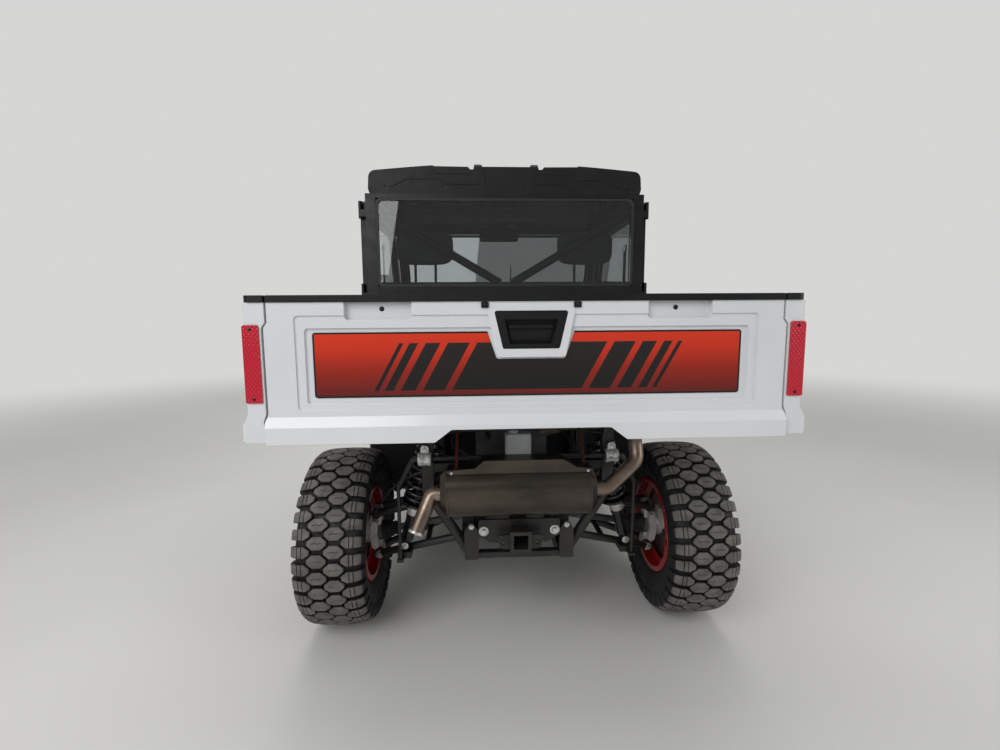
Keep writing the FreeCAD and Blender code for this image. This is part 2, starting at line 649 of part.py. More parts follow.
def rocker():
    """Moulded step below each door."""
    return plate("y", -742, PILLAR_Y1, [
        (SILL_X + 30, 362, 8), (PILLAR_X1 + 2, 362, 20), (CAB_X - 4, 392, 12), (CAB_X - 4, DOOR_BOTTOM_Z - PART_GAP, 6),
        (PILLAR_X1, DOOR_BOTTOM_Z - PART_GAP), (PILLAR_X1, 386, 8), (SILL_X + 30, 386)])


def seat_base():
    """Box under the bench."""
    outer = plate("x", -600, 600, [(-60, FLOOR_Z), (PILLAR_Y0 - 12, FLOOR_Z), (PILLAR_Y0 - 12, 640), (-100, 640, 20)])
    inner = plate("x", -590, 590, [(-50, FLOOR_Z - 1), (PILLAR_Y0 - 22, FLOOR_Z - 1), (PILLAR_Y0 - 22, 630), (-86, 630)])
    return outer.cut(inner)


def seats():
    """Bench cushion, two seat backs and their headrests, in three nodes."""
    cushions = []
    backs = []
    rests = []
    for x0, x1 in ((200.0, 590.0), (-590.0, 190.0)):
        cushions.append(plate("x", x0, x1, [(-110, 640 + FRAME_GAP, 20), (330, 640 + FRAME_GAP, 20), (330, 740, 30), (-110, 770, 40)]))
        backs.append(plate("x", x0 + 6, x1 - 6, [
            (296, 743, 4), (345, 740.4, 4), (396, 1380, 12), (330, 1380, 30), (262, 800, 40)]))
    for x in (400.0, -400.0):
        pad = plate("y", 350, 392, [
            (x - 140, 1500, 20), (x - 60, 1480, 20), (x + 60, 1480, 20), (x + 140, 1500, 20), (x + 130, 1620, 40),
            (x + 60, 1650, 30), (x - 60, 1650, 30), (x - 130, 1620, 40)])
        posts = [bar(V(x + side * 50, 366, 1380 + FRAME_GAP), V(x + side * 50, 366, 1500), 7) for side in (-1, 1)]
        rests.append(fused(pad, *posts))
    return cushions, backs, rests


# Cab

def cab_frame():
    """Pillars, roof rails, cross rails, screen surround and the V brace behind the seats."""
    parts = []
    top = ROOF_LOW_Z
    for sign in (-1, 1):
        x0, x1 = sorted((sign * PILLAR_X0, sign * PILLAR_X1))
        parts.append(box(x0, x1, PILLAR_Y0, PILLAR_Y1, FLOOR_Z, top))
        parts.append(plate("x", x0, x1, [
            (SCREEN_LOW_Y - 22, SCREEN_LOW_Z - 20), (SCREEN_LOW_Y + 44, SCREEN_LOW_Z - 20),
            (SCREEN_TOP_Y + 44, top), (SCREEN_TOP_Y - 22, top)]))
        parts.append(box(x0, x1, SCREEN_LOW_Y - 22, SCREEN_LOW_Y + 44, FLOOR_Z, SCREEN_LOW_Z - 20))
        parts.append(box(x0, x1, SCREEN_TOP_Y + 44, PILLAR_Y0, top - 50, top))
        parts.append(bar(V(sign * 30, 436, 1389), V(sign * (PILLAR_X0 + 10), 436, 1735), 20))
    parts.append(box(-PILLAR_X0, PILLAR_X0, SCREEN_TOP_Y - 22, SCREEN_TOP_Y + 30, top - 28, top))
    parts.append(box(-PILLAR_X0, PILLAR_X0, PILLAR_Y0 + 6, PILLAR_Y1, top - 20, top))
    parts.append(box(-PILLAR_X0, PILLAR_X0, 412, 448, 1330, 1394))
    return fused(*parts)


def rear_wall():
    """Panel that closes the cab below the rear window."""
    return box(-PILLAR_X0, PILLAR_X0, 450, PILLAR_Y1, FLOOR_Z, WINDOW_LOW_Z - FRAME_GAP)


def glass_outline(inset):
    side = PILLAR_X0 - FRAME_GAP - inset
    low, high = WINDOW_LOW_Z + inset, ROOF_LOW_Z - 20 - FRAME_GAP - inset
    return [(-side, low, 16), (side, low, 16), (side, high, 24), (-side, high, 24)]


def rear_window():
    seal = plate("y", 464, PILLAR_Y1, glass_outline(0), [glass_outline(11)])
    pane = plate("y", 467, 467 + GLASS_T, glass_outline(11 + FRAME_GAP))
    return seal, pane


def windscreen():
    """Pane and its seal on the slope between the front pillars."""
    slope = atan2(SCREEN_TOP_Y - SCREEN_LOW_Y, ROOF_LOW_Z - 32 - SCREEN_LOW_Z)
    length = (ROOF_LOW_Z - 32 - SCREEN_LOW_Z) / cos(slope) - 6
    def outline(inset):
        side = PILLAR_X0 - FRAME_GAP - inset
        return [(-side, inset, 16), (side, inset, 16), (side, length - inset, 16), (-side, length - inset, 16)]
    seal = plate("y", -14, 4, outline(0), [outline(12)])
    pane = plate("y", -9, -9 + GLASS_T, outline(12 + FRAME_GAP))
    for piece in (seal, pane):
        piece.rotate(V(0, 0, 0), V(1, 0, 0), -degrees(slope))
        piece.translate(V(0, SCREEN_LOW_Y, SCREEN_LOW_Z + 2))
    return seal, pane


def roof():
    """Moulded roof, hollow below, from a front view profile and a side view profile."""
    half = [(640, 1801), (ROOF_X, 1822, 6), (ROOF_X - 5, 1904, 34), (344, 1931, 6), (338, 1926), (180, 1924, 4),
            (170, 1912, 3), (154, 1912, 3), (149, RIB_TOP_Z, 5), (120, RIB_TOP_Z, 5), (112, ROOF_TOP_Z, 3)]
    front_view = half + [(-row[0],) + tuple(row[1:]) for row in reversed(half)]
    skin = plate("y", ROOF_FRONT_Y, ROOF_REAR_Y, front_view)
    side = plate("x", -700, 700, [
        (ROOF_FRONT_Y, 1801), (ROOF_REAR_Y, 1801), (ROOF_REAR_Y, RIB_TOP_Z + 1, 26), (-300, RIB_TOP_Z + 1, 200),
        (-470, 1890, 60), (ROOF_FRONT_Y, 1840, 12)])
    skin = skin.common(side)
    middle = plate("y", ROOF_REAR_Y - 6, ROOF_REAR_Y + 1, [
        (-92, 1822, 8), (92, 1822, 8), (116, RIB_TOP_Z + 2), (-116, RIB_TOP_Z + 2)])
    skin = skin.cut(middle)
    hollow = plate("x", -622, 622, [
        (ROOF_FRONT_Y + 25, 1800), (ROOF_REAR_Y - 22, 1800), (ROOF_REAR_Y - 22, 1892), (-300, 1892, 200),
        (-460, 1850, 40), (ROOF_FRONT_Y + 25, 1815)])
    return skin.cut(hollow)


def door():
    """Left door: framed shell, white skin on its lower half and its glass."""
    inner = CAB_X - DOOR_T
    rim_line = [(DOOR_FRONT_Y, DOOR_BOTTOM_Z, 40), (DOOR_REAR_Y, DOOR_BOTTOM_Z, 40), (DOOR_REAR_Y, DOOR_TOP_Z, 30),
                (SCREEN_TOP_Y + 10, DOOR_TOP_Z, 60), (SCREEN_LOW_Y + 10, SCREEN_LOW_Z, 60), (DOOR_FRONT_Y, 1060, 30)]
    window = [(-600, WAIST_Z + 40, 40), (DOOR_REAR_Y - 58, WAIST_Z + 40, 40), (DOOR_REAR_Y - 58, DOOR_TOP_Z - 56, 50),
              (-352, DOOR_TOP_Z - 56, 50)]
    shell = plate("x", inner, CAB_X - 8, rim_line, [window])
    skin = plate("x", CAB_X - 8, CAB_X, [
        (DOOR_FRONT_Y + 10, DOOR_BOTTOM_Z + 12, 30), (DOOR_REAR_Y - 10, DOOR_BOTTOM_Z + 12, 30),
        (DOOR_REAR_Y - 10, WAIST_Z - 20, 20), (DOOR_FRONT_Y + 40, WAIST_Z - 90, 20), (DOOR_FRONT_Y + 10, WAIST_Z - 120, 20)])
    pane_line = [(-600 + FRAME_GAP, WAIST_Z + 40 + FRAME_GAP, 40), (DOOR_REAR_Y - 58 - FRAME_GAP, WAIST_Z + 40 + FRAME_GAP, 40),
                 (DOOR_REAR_Y - 58 - FRAME_GAP, DOOR_TOP_Z - 56 - FRAME_GAP, 50),
                 (-352 + FRAME_GAP, DOOR_TOP_Z - 56 - FRAME_GAP, 50)]
    pane = plate("x", CAB_X - 22, CAB_X - 22 + GLASS_T, pane_line)
    knuckles = []
    leaves = []
    for z in HINGE_ROWS:
        moving = bar(V(HINGE_X, HINGE_Y, z + 40), V(HINGE_X, HINGE_Y, z + 80), HINGE_R)
        strap = box(HINGE_X - 9, HINGE_X + 8, DOOR_REAR_Y - 10, HINGE_Y, z + 44, z + 76)
        knuckles += [moving, strap]
        fixed = bar(V(HINGE_X, HINGE_Y, z), V(HINGE_X, HINGE_Y, z + 40), HINGE_R)
        leaf = box(PILLAR_X1, HINGE_X, HINGE_Y - 6, HINGE_Y + 26, z + 4, z + 36)
        leaves.append(fused(fixed, leaf))
    shell = fused(shell, *knuckles)
    return shell, skin, pane, leaves


HINGE_ROWS = (620.0, 1310.0, 1700.0)


def doors():
    shell, skin, pane, leaves = door()
    for side, flip in (("left", lambda s: s), ("right", mirrored)):
        save("door_" + side, flip(shell))
        save("door_skin_" + side, flip(skin))
        save("door_glass_" + side, flip(pane))
    return leaves


# Front end

def arch(r, x0, x1):
    return across(x0, x1, FRONT_AXLE_Y, AXLE_Z, r)


ARCH_R = 420.0
HOOD_X = 474.0
HOOD_HINGE_X = 300.0
HOOD_PIN_Y = -702.0
HOOD_PIN_Z = 1119.0
HOOD_PIN_R = 7.0
FENDER_X0 = 480.0
FENDER_X1 = 735.0
FENDER_WALL = 12.0


def fender():
    """Left front fender: outer wall, top, arch liner and front corner, open inboard."""
    outline = [(DOOR_FRONT_Y - 7, 490), (DOOR_FRONT_Y - 7, 1085, 20), (-1100, 985, 200), (FRONT_Y + 145, 892, 60), (FRONT_Y + 55, 800, 40),
               (FRONT_Y + 39, 620), (FRONT_Y + 105, 600), (-800, 490)]
    solid = plate("x", FENDER_X0, FENDER_X1, outline).cut(arch(ARCH_R, FENDER_X0 - 1, FENDER_X1 + 1))
    inside = [(DOOR_FRONT_Y - 19, 480), (DOOR_FRONT_Y - 19, 1070, 10), (-1100, 972, 200), (FRONT_Y + 149, 880, 50), (FRONT_Y + 67, 796, 30),
              (FRONT_Y + 51, 632), (FRONT_Y + 105, 632), (-800, 480)]
    hollow = plate("x", FENDER_X0 - 1, FENDER_X1 - FENDER_WALL, inside).cut(
        arch(ARCH_R + FENDER_WALL, FENDER_X0 - 2, FENDER_X1))
    solid = solid.cut(hollow)
    return max(solid.Solids, key=lambda piece: piece.Volume)


def hood():
    """Front lid between the fenders."""
    side = plate("x", -500, 500, [
        (FRONT_Y + 67, 830, 20), (FRONT_Y + 105, 900, 40), (-1100, 1002, 300), (-712, 1100, 10), (-712, 1078), (-1100, 980, 300),
        (FRONT_Y + 115, 878, 30), (FRONT_Y + 83, 830)])
    plan = plate("z", 800, 1200, [(-HOOD_X, -1500), (HOOD_X, -1500), (HOOD_X, -700), (-HOOD_X, -700)])
    barrels = []
    for x in (-HOOD_HINGE_X, HOOD_HINGE_X):
        barrels.append(across(x - 32, x, HOOD_PIN_Y, HOOD_PIN_Z, HOOD_PIN_R))
        barrels.append(plate("x", x - 30, x - 2, [
            (HOOD_PIN_Y - 46, 1084), (HOOD_PIN_Y - 16, 1092), (HOOD_PIN_Y - 3, HOOD_PIN_Z),
            (HOOD_PIN_Y, HOOD_PIN_Z + HOOD_PIN_R)]))
    return fused(side.common(plan), *barrels)


def fascia():
    """Front panel with its grille opening and the two lamp openings."""
    slab = plate("x", -FENDER_X0, FENDER_X0, [
        (FRONT_Y + 75, 822, 6), (FRONT_Y + 45, 800, 20), (FRONT_Y + 15, 640, 60), (FRONT_Y + 31, 512, 10), (FRONT_Y + 61, 512), (FRONT_Y + 45, 640, 60),
        (FRONT_Y + 75, 790, 20), (FRONT_Y + 95, 822)])
    outline = plate("y", FRONT_Y, FRONT_Y + 105, [
        (-FENDER_X0, 850), (-FENDER_X0, 690, 20), (-392, 660, 20), (-372, 440), (372, 440), (392, 660, 20),
        (FENDER_X0, 690, 20), (FENDER_X0, 850)])
    panel = slab.common(outline)
    for z in range(3):
        low = 560 + 40 * z
        panel = panel.cut(plate("y", FRONT_Y - 15, FRONT_Y + 115, [(-250, low, 8), (250, low, 8), (262, low + 26, 8), (-262, low + 26, 8)]))
    for lamp in lamp_blanks(0):
        panel = panel.cut(lamp)
    return panel


def lamp_blanks(gap):
    blank = plate("y", FRONT_Y, FRONT_Y + 115, [
        (290 + gap, 712 + gap, 12), (440 - gap, 730 + gap, 12), (452 - gap, 792 - gap, 12), (300 + gap, 780 - gap, 12)])
    return both(blank)


def headlamps():
    slab = plate("x", -475, 475, [(FRONT_Y + 45, 800), (FRONT_Y + 23, 700), (FRONT_Y + 65, 700), (FRONT_Y + 87, 800)])
    return [blank.common(slab) for blank in lamp_blanks(FRAME_GAP)]


def bumper():
    r = 25.0
    y = FRONT_Y + r
    low = pipe([V(-430, y + 34, 480), V(-350, y, 480), V(350, y, 480), V(430, y + 34, 480)], r, 60)
    posts = []
    for sign in (-1, 1):
        x = sign * RAIL_X
        posts.append(box(x - 6, x + 6, FRONT_Y + r, FRONT_Y + 150, 320, 500))
    skid = plate("x", -RAIL_X - 30, RAIL_X + 30, [(FRONT_Y + 14, 470), (FRONT_Y + 18, 470), (FRONT_Y + 72, 306), (FRONT_Y + 68, 306)])
    return fused(low, skid, *posts)


def cowl():
    """Cowl and dashboard."""
    lid = plate("x", -475, 475, [(-704, 1078), (-704, 1112), (SCREEN_LOW_Y + 60, SCREEN_LOW_Z + 2), (SCREEN_LOW_Y + 60, 1078)])
    dash = plate("x", -PILLAR_X0, PILLAR_X0, [
        (-690, 955), (-560, 975, 20), (-520, 1060, 30), (-560, 1112, 30), (-640, 1130), (-690, 1112)])
    foot, hub = column_line()
    barrels = []
    for x in (-HOOD_HINGE_X, HOOD_HINGE_X):
        barrels.append(across(x, x + 32, HOOD_PIN_Y, HOOD_PIN_Z, HOOD_PIN_R))
        barrels.append(box(x + 2, x + 30, HOOD_PIN_Y, HOOD_PIN_Y + HOOD_PIN_R, 1100, HOOD_PIN_Z))
    shelf = lid.common(box(-475, 475, -720, -600, 1000, 1112))
    return fused(dash, shelf, *barrels).cut(bar(foot, hub, 20 + RUN_GAP))


# Cargo box

def gate_side(gap, top):
    """The jogged side edge of the tailgate's opening from its top down to the lower band, moved out by a gap."""
    return [(GATE_TOP_X + gap, top, 0), (GATE_TOP_X + gap, 1204, 6), (GATE_MID_X + gap, 1190, 6),
            (GATE_MID_X + gap, BAND_TOP_Z + 24, 6), (GATE_X + gap, BAND_TOP_Z + 4, 6)]


def cargo_box():
    """Double wall box: floor, front wall, sides, corner posts, floor beams and hinge lugs."""
    inner = BOX_INSIDE_W / 2
    floor_top = BOX_TOP_Z - BOX_DEPTH
    top = BOX_TOP_Z - RAIL_CAP_H
    post_y = GATE_IN_Y - PART_GAP
    parts = [box(-inner, inner, BOX_FRONT_Y, post_y, floor_top - BOX_FLOOR_T, floor_top),
             box(-inner, inner, BOX_FRONT_Y, BOX_FRONT_Y + BOX_WALL_FRONT, floor_top, top)]
    for sign in (-1, 1):
        outline = [(sign * inner, floor_top - BOX_FLOOR_T), (sign * (BOX_X - 30), BOX_LOW_Z, 10),
                   (sign * (BOX_X + 16), BOX_LOW_Z, 16), (sign * (BOX_X + 16), BAND_TOP_Z - 8, 10), (sign * BOX_X, BAND_TOP_Z + 20, 10), (sign * BOX_X, top), (sign * inner, top)]
        parts.append(plate("y", BOX_FRONT_Y, post_y, outline))
        post = [(sign * x, z, r) for x, z, r in
                [(GATE_X + PART_GAP, BOX_LOW_Z, 6), (BOX_X + 22, BOX_LOW_Z, 10), (BOX_X + 22, BAND_TOP_Z - 8, 8),
                 (BOX_X + 6, BAND_TOP_Z + 22, 10), (BOX_X + 2, top, 0)] + gate_side(PART_GAP, top)]
        parts.append(plate("y", post_y, GATE_IN_Y + GATE_T, post))
        beam = box(*sorted((sign * (TOWER_X - 28), sign * (TOWER_X + 28))), BOX_FRONT_Y + 20, post_y - 60, BOX_LOW_Z,
                   floor_top - BOX_FLOOR_T)
        lug = plate("x", sign * TOWER_X - 12, sign * TOWER_X + 12, [
            (PIVOT_Y - 60, BOX_LOW_Z + 2), (PIVOT_Y - 18, PIVOT_Z - 16, 14), (PIVOT_Y + 18, PIVOT_Z - 16, 14),
            (PIVOT_Y + 60, BOX_LOW_Z + 2)])
        hole = across(sign * TOWER_X - 40, sign * TOWER_X + 40, PIVOT_Y, PIVOT_Z, PIN_R + RUN_GAP)
        relief = across(sign * TOWER_X - 40, sign * TOWER_X + 40, PIVOT_Y, PIVOT_Z, 34)
        parts.append(fused(beam.cut(relief), lug, across(sign * TOWER_X - 12, sign * TOWER_X + 12, PIVOT_Y, PIVOT_Z + 16, 26)
                           ).cut(hole))
    for y in (700.0, 1000.0, 1300.0):
        parts.append(box(-TOWER_X, TOWER_X, y - 20, y + 20, BOX_LOW_Z + 20, floor_top - BOX_FLOOR_T))
    parts += gate_pins(0)
    whole = fused(*parts)
    for sign in (-1, 1):
        whole = whole.cut(lamp(sign, 0))
    for hole in anchor_holes(BOX_TOP_Z - ANCHOR_DEPTH, top + 1, ANCHOR_R + 2):
        whole = whole.cut(hole)
    return whole


def anchor_holes(low, high, r):
    """Four upright holes in the side rails for accessories."""
    return [bar(V(x, y, low), V(x, y, high), r) for x in (-ANCHOR_X, ANCHOR_X) for y in ANCHOR_ROWS]


def gate_pins(clearance):
    """Stub pins in the corner posts that the tailgate turns on."""
    return both(across(GATE_X - GATE_PIN_L - clearance, GATE_X + PART_GAP + 2, GATE_PIN_Y, GATE_PIN_Z,
                       GATE_PIN_R + clearance))


LAMP_Z0 = 993.0
LAMP_Z1 = 1198.0


def lamp(sign, gap):
    """Tall rear lamp lens in a corner post."""
    y0, y1 = GATE_IN_Y + GATE_T - 26 + gap, GATE_IN_Y + GATE_T + 4
    inner = GATE_MID_X + PART_GAP + 5 + gap
    return plate("y", y0, y1, [
        (sign * inner, LAMP_Z0 + gap, 4), (sign * (BOX_X + 7), LAMP_Z0 + gap, 4),
        (sign * (BOX_X + 6), LAMP_Z1 - gap, 6), (sign * inner, LAMP_Z1 - gap, 6)])


def rail_caps():
    """Black cap on the box's two sides and its front wall."""
    z0, z1 = BOX_TOP_Z - RAIL_CAP_H, BOX_TOP_Z
    inner = BOX_INSIDE_W / 2 - 6
    outline = [(-RAIL_CAP_X, BOX_FRONT_Y - 4, 8), (RAIL_CAP_X, BOX_FRONT_Y - 4, 8), (RAIL_CAP_X, GATE_IN_Y + GATE_T + 4, 20),
               (GATE_TOP_X + PART_GAP, GATE_IN_Y + GATE_T + 4), (GATE_TOP_X + PART_GAP, GATE_IN_Y - PART_GAP), (inner, GATE_IN_Y - PART_GAP),
               (inner, BOX_FRONT_Y + BOX_WALL_FRONT + 6, 20), (-inner, BOX_FRONT_Y + BOX_WALL_FRONT + 6, 20),
               (-inner, GATE_IN_Y - PART_GAP), (-GATE_TOP_X - PART_GAP, GATE_IN_Y - PART_GAP),
               (-GATE_TOP_X - PART_GAP, GATE_IN_Y + GATE_T + 4), (-RAIL_CAP_X, GATE_IN_Y + GATE_T + 4, 20)]
    cap = plate("z", z0, z1, outline)
    for hole in anchor_holes(z0 - 1, z1 + 1, ANCHOR_R):
        cap = cap.cut(hole)
    return cap


PANEL_X = 577.0
PANEL_Z0 = 1003.0
PANEL_Z1 = 1177.0


def tailgate():
    """Gate with its stepped recess, handle pocket, top pockets and notched lower band."""
    top = BOX_TOP_Z - RAIL_CAP_H
    rear = GATE_IN_Y + GATE_T
    lower = GATE_LOW_Z
    side = [(GATE_X, lower, 8)] + gate_side(0, top)[::-1]
    outline = [(-262, lower, 10), (-216, 916, 14), (216, 916, 14), (262, lower, 10)] + side
    outline += [(-x, z, r) for x, z, r in side[::-1]]
    slab = plate("y", GATE_IN_Y, rear, outline)
    band = plate("x", -GATE_X, GATE_X, [
        (rear - 2, lower), (REAR_Y, lower, 3), (REAR_Y, BAND_TOP_Z - 12, 4), (rear, BAND_TOP_Z + 14), (rear - 2, BAND_TOP_Z + 14)])
    band = band.common(plate("y", GATE_IN_Y, REAR_Y + 1, outline))
    gate = fused(slab, band)
    first = plate("y", rear - 4, rear + 1, [(-620, 972, 10), (620, 972, 10), (620, 1221, 10), (-620, 1221, 10)])
    second = plate("y", rear - 10, rear + 1, [
        (-596, 988, 10), (596, 988, 10), (596, 1188, 10), (-596, 1188, 10)])
    gate = gate.cut(first).cut(second)
    surround = plate("y", rear - 10, rear + 3, [
        (-92, 1108, 10), (92, 1108, 10), (118, 1236, 6), (-118, 1236, 6)])
    gate = gate.fuse(surround)
    gate = gate.cut(plate("y", rear - 40, rear + 4, handle_line(0)))
    edge = plate("x", -GATE_X - 1, GATE_X + 1, [
        (GATE_IN_Y - 1, lower - 1), (GATE_IN_Y + 15, lower - 1), (GATE_IN_Y - 1, lower + 15)])
    gate = gate.cut(edge)
    for pin in gate_pins(RUN_GAP):
        gate = gate.cut(pin)
    for sign in (-1, 1):
        gate = gate.cut(plate("y", rear - 16, rear + 1, [
            (sign * 315, 1209, 10), (sign * 490, 1209, 10), (sign * 490, top + 1), (sign * 315, top + 1)]))
    return gate.removeSplitter()


def handle_line(gap):
    return [(-76 + gap, 1130 + gap, 6), (76 - gap, 1130 + gap, 6), (99 - gap, 1231 - gap, 6), (-99 + gap, 1231 - gap, 6)]


def tailgate_parts():
    rear = GATE_IN_Y + GATE_T
    panel = plate("y", rear - 10, rear - 8, [
        (-PANEL_X, PANEL_Z0, 8), (PANEL_X, PANEL_Z0, 8), (PANEL_X, PANEL_Z1, 8), (-PANEL_X, PANEL_Z1, 8)])
    notch = plate("y", rear - 11, rear, [(-93, PANEL_Z0 + 100, 10), (93, PANEL_Z0 + 100, 10), (124, PANEL_Z1 + 20), (-124, PANEL_Z1 + 20)])
    panel = panel.cut(notch)
    handle = plate("y", rear - 36, rear, handle_line(FRAME_GAP)).cut(
        plate("y", rear - 18, rear + 1, [(-58, 1142, 4), (58, 1142, 4), (72, 1208, 4), (-72, 1208, 4)]))
    cap = plate("y", GATE_IN_Y, rear + 4, [
        (-GATE_TOP_X, BOX_TOP_Z - RAIL_CAP_H), (GATE_TOP_X, BOX_TOP_Z - RAIL_CAP_H), (GATE_TOP_X, BOX_TOP_Z, 4),
        (-GATE_TOP_X, BOX_TOP_Z, 4)])
    return panel, handle, cap


# Power unit and exhaust

def engine():
    """Engine with its gearbox as one block on the lower rails."""
    return box(-ENGINE_X, ENGINE_X, 520, ENGINE_Y1, RAIL_Z + RAIL_SIZE / 2, 790)


def muffler():
    """Oval drum with domed ends and a bent shield over it."""
    def oval(x, h, d):
        arc = []
        for sign in (-1, 1):
            ends = [V(x, MUFFLER_Y - sign * d, MUFFLER_Z + sign * (h - d)), V(x, MUFFLER_Y, MUFFLER_Z + sign * h),
                    V(x, MUFFLER_Y + sign * d, MUFFLER_Z + sign * (h - d))]
            arc.append(ends)
        first = Part.Arc(*arc[0]).toShape()
        second = Part.Arc(*arc[1]).toShape()
        return Part.Wire([first, Part.LineSegment(arc[0][2], arc[1][0]).toShape(), second,
                          Part.LineSegment(arc[1][2], arc[0][0]).toShape()])
    drum = Part.Face(oval(MUFFLER_X0 + 22, MUFFLER_H, MUFFLER_D)).extrude(V(MUFFLER_X1 - MUFFLER_X0 - 44, 0, 0))
    ends = []
    for x, far in ((MUFFLER_X0 + 22, MUFFLER_X0), (MUFFLER_X1 - 22, MUFFLER_X1)):
        ends.append(Part.makeLoft([oval(x, MUFFLER_H, MUFFLER_D), oval(far, MUFFLER_H - 22, MUFFLER_D - 22)], True, True))
    drum = fused(drum, *ends)
    rim_z = MUFFLER_Z + MUFFLER_H
    bump = rim_z + 34
    back = MUFFLER_Y + 34
    shield = plate("y", MUFFLER_Y - 40, back, [
        (-238, rim_z - 14), (-238, rim_z + 2, 4), (-185, rim_z + 6, 14), (-140, bump, 14), (128, bump, 14),
        (158, rim_z + 8, 14), (252, rim_z + 2, 4), (252, rim_z - 14)])
    shield = shield.cut(plate("y", MUFFLER_Y - 41, back - 3, [
        (-220, rim_z - 20), (-220, rim_z, 4), (-182, rim_z + 3, 12), (-137, bump - 3, 12),
        (125, bump - 3, 12), (155, rim_z + 5, 12), (235, rim_z, 4), (235, rim_z - 20)]))
    hangers = []
    for x in (-HANGER_X, HANGER_X):
        hangers.append(bar(V(x, TOWER_ROWS[-1] + 10, 822), V(x, MUFFLER_Y - 12, rim_z - 6), HANGER_R))
    return fused(drum, *shield.Solids, *hangers).cut(deck())


def exhaust_pipe():
    inlet = pipe([V(MUFFLER_X0, MUFFLER_Y, MUFFLER_Z + 2), V(-300, MUFFLER_Y, MUFFLER_Z + 2), V(-412, 1190, 712),
                  V(-412, 1160, 792), V(-412, 790, 792), V(-250, 745, 745), V(-120, 700, 700)], PIPE_R, 48)
    tail = pipe([V(MUFFLER_X1, MUFFLER_Y, MUFFLER_Z - 4), V(306, MUFFLER_Y, MUFFLER_Z - 4),
                 V(358, MUFFLER_Y + 44, 502)], PIPE_R, 44, PIPE_R - PIPE_WALL)
    inlet = inlet.cut(engine())
    return inlet, tail


def stabiliser():
    """Anti roll bar with its links, and the two clamps that hold it on the posts."""
    r = 9.0
    y, z = TOWER_ROWS[-1] + DECK_TUBE / 2 - 4 + r, 714.0
    end = V(LINK_X - 4, LINK_Y + 20, 590)
    bent = pipe([V(-end.x, end.y, end.z), V(-380, y, z), V(380, y, z), end], r, 30)
    foot = V(LINK_X, LINK_Y, LOWER_BALL_Z + 32)
    link = bar(foot, end, 7)
    rod = fused(bent, *both(link)).cut(Part.makeCompound(both(rear_arms()[0])))
    clamps = []
    for sign in (-1, 1):
        x = sign * (TOWER_X + 8)
        saddle = across(x - 24, x + 24, y + 6, z, 25)
        tab = plate("y", y + 4, y + 12, [(x - 15, z), (x + 15, z), (x + 15, z + 48, 12), (x - 15, z + 48, 12)])
        strap = box(x - 15, x + 15, y - r, y + 12, z + 26, z + 34)
        clamps.append(fused(saddle, tab, strap).cut(rod).cut(deck()))
    return rod, clamps


# Steering

def steering():
    foot, hub = column_line()
    column = bar(foot, hub, 20)
    save("steering_column", column)
    way = V(hub - foot).normalize()
    rim_ring = Part.makeTorus(170, 14, hub + way * 30, way)
    boss = bar(hub + way * RUN_GAP, hub + way * 34, 38)
    side = V(1, 0, 0)
    up = way.cross(side)
    spokes = [bar(hub + way * 18, hub + way * 30 + direction * 168, 9) for direction in (side, side * -1, up * -1, up)]
    save("steering_wheel", fused(rim_ring, boss, *spokes))


def column_line():
    return V(345, -600, 1000), V(345, -440, 1090)


def main():
    os.makedirs("parts", exist_ok=True)
    wheels()
    suspension()
    drives()
    rack()
    steering()
    save("frame", ladder())
    save("deck", deck())
    save("front_towers", front_towers())
    save("outriggers", outriggers())
    save("hitch", hitch())
    save("floor", fused(floor(), seat_base()))
    save("rockers", *both(rocker()))
    cushions, backs, rests = seats()
    save("seat_cushions", *cushions)
    save("seat_backs", *backs)
    save("headrests", *rests)
    leaves = doors()
    save("cab_frame", fused(cab_frame(), *[leaf for piece in leaves for leaf in both(piece)]))
    save("rear_wall", rear_wall())
    rear_seal, rear_pane = rear_window()
    front_seal, front_pane = windscreen()
    save("window_seals", rear_seal, front_seal)
    save("cab_glass", rear_pane, front_pane)
    save("roof", roof())
    save("fenders", *both(fender()))
    save("hood", hood())
    save("fascia", fascia())
    save("headlamps", *headlamps())
    save("bumper", bumper())
    save("cowl", cowl())
    save("cargo_box", cargo_box())
    save("tail_lamps", lamp(1, FRAME_GAP), lamp(-1, FRAME_GAP))
    save("rail_caps", rail_caps())
    panel, handle, cap = tailgate_parts()
    save("tailgate", tailgate())
    save("tailgate_panel", panel)
    save("tailgate_handle", handle)
    save("tailgate_cap", cap)
    save("engine", engine())
    save("muffler", muffler())
    inlet, tail = exhaust_pipe()
    save("exhaust_pipe", inlet, tail)
    rod, clamps = stabiliser()
    save("stabiliser", rod)
    save("stabiliser_clamps", *clamps)


main()
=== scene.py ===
"""Finishes and fine pieces of a side by side utility vehicle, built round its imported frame."""

import json
import math

import bmesh
import bpy
import numpy as np
from mathutils import Matrix, Vector


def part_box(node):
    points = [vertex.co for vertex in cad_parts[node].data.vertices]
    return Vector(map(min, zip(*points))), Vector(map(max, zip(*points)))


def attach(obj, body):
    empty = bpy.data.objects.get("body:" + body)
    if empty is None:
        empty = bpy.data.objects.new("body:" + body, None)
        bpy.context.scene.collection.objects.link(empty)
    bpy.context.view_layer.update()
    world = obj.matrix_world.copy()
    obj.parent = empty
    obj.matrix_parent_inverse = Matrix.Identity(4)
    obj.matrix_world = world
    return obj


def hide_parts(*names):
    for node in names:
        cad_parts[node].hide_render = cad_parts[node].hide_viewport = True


bl_info = {
    "name": "Side by side utility vehicle",
    "version": (1, 0, 0),
    "blender": (4, 5, 0),
    "location": "3D View > Sidebar > Vehicle",
    "description": "Builds the finishes, tyres, springs, seats and trim of the vehicle",
    "category": "Object",
}

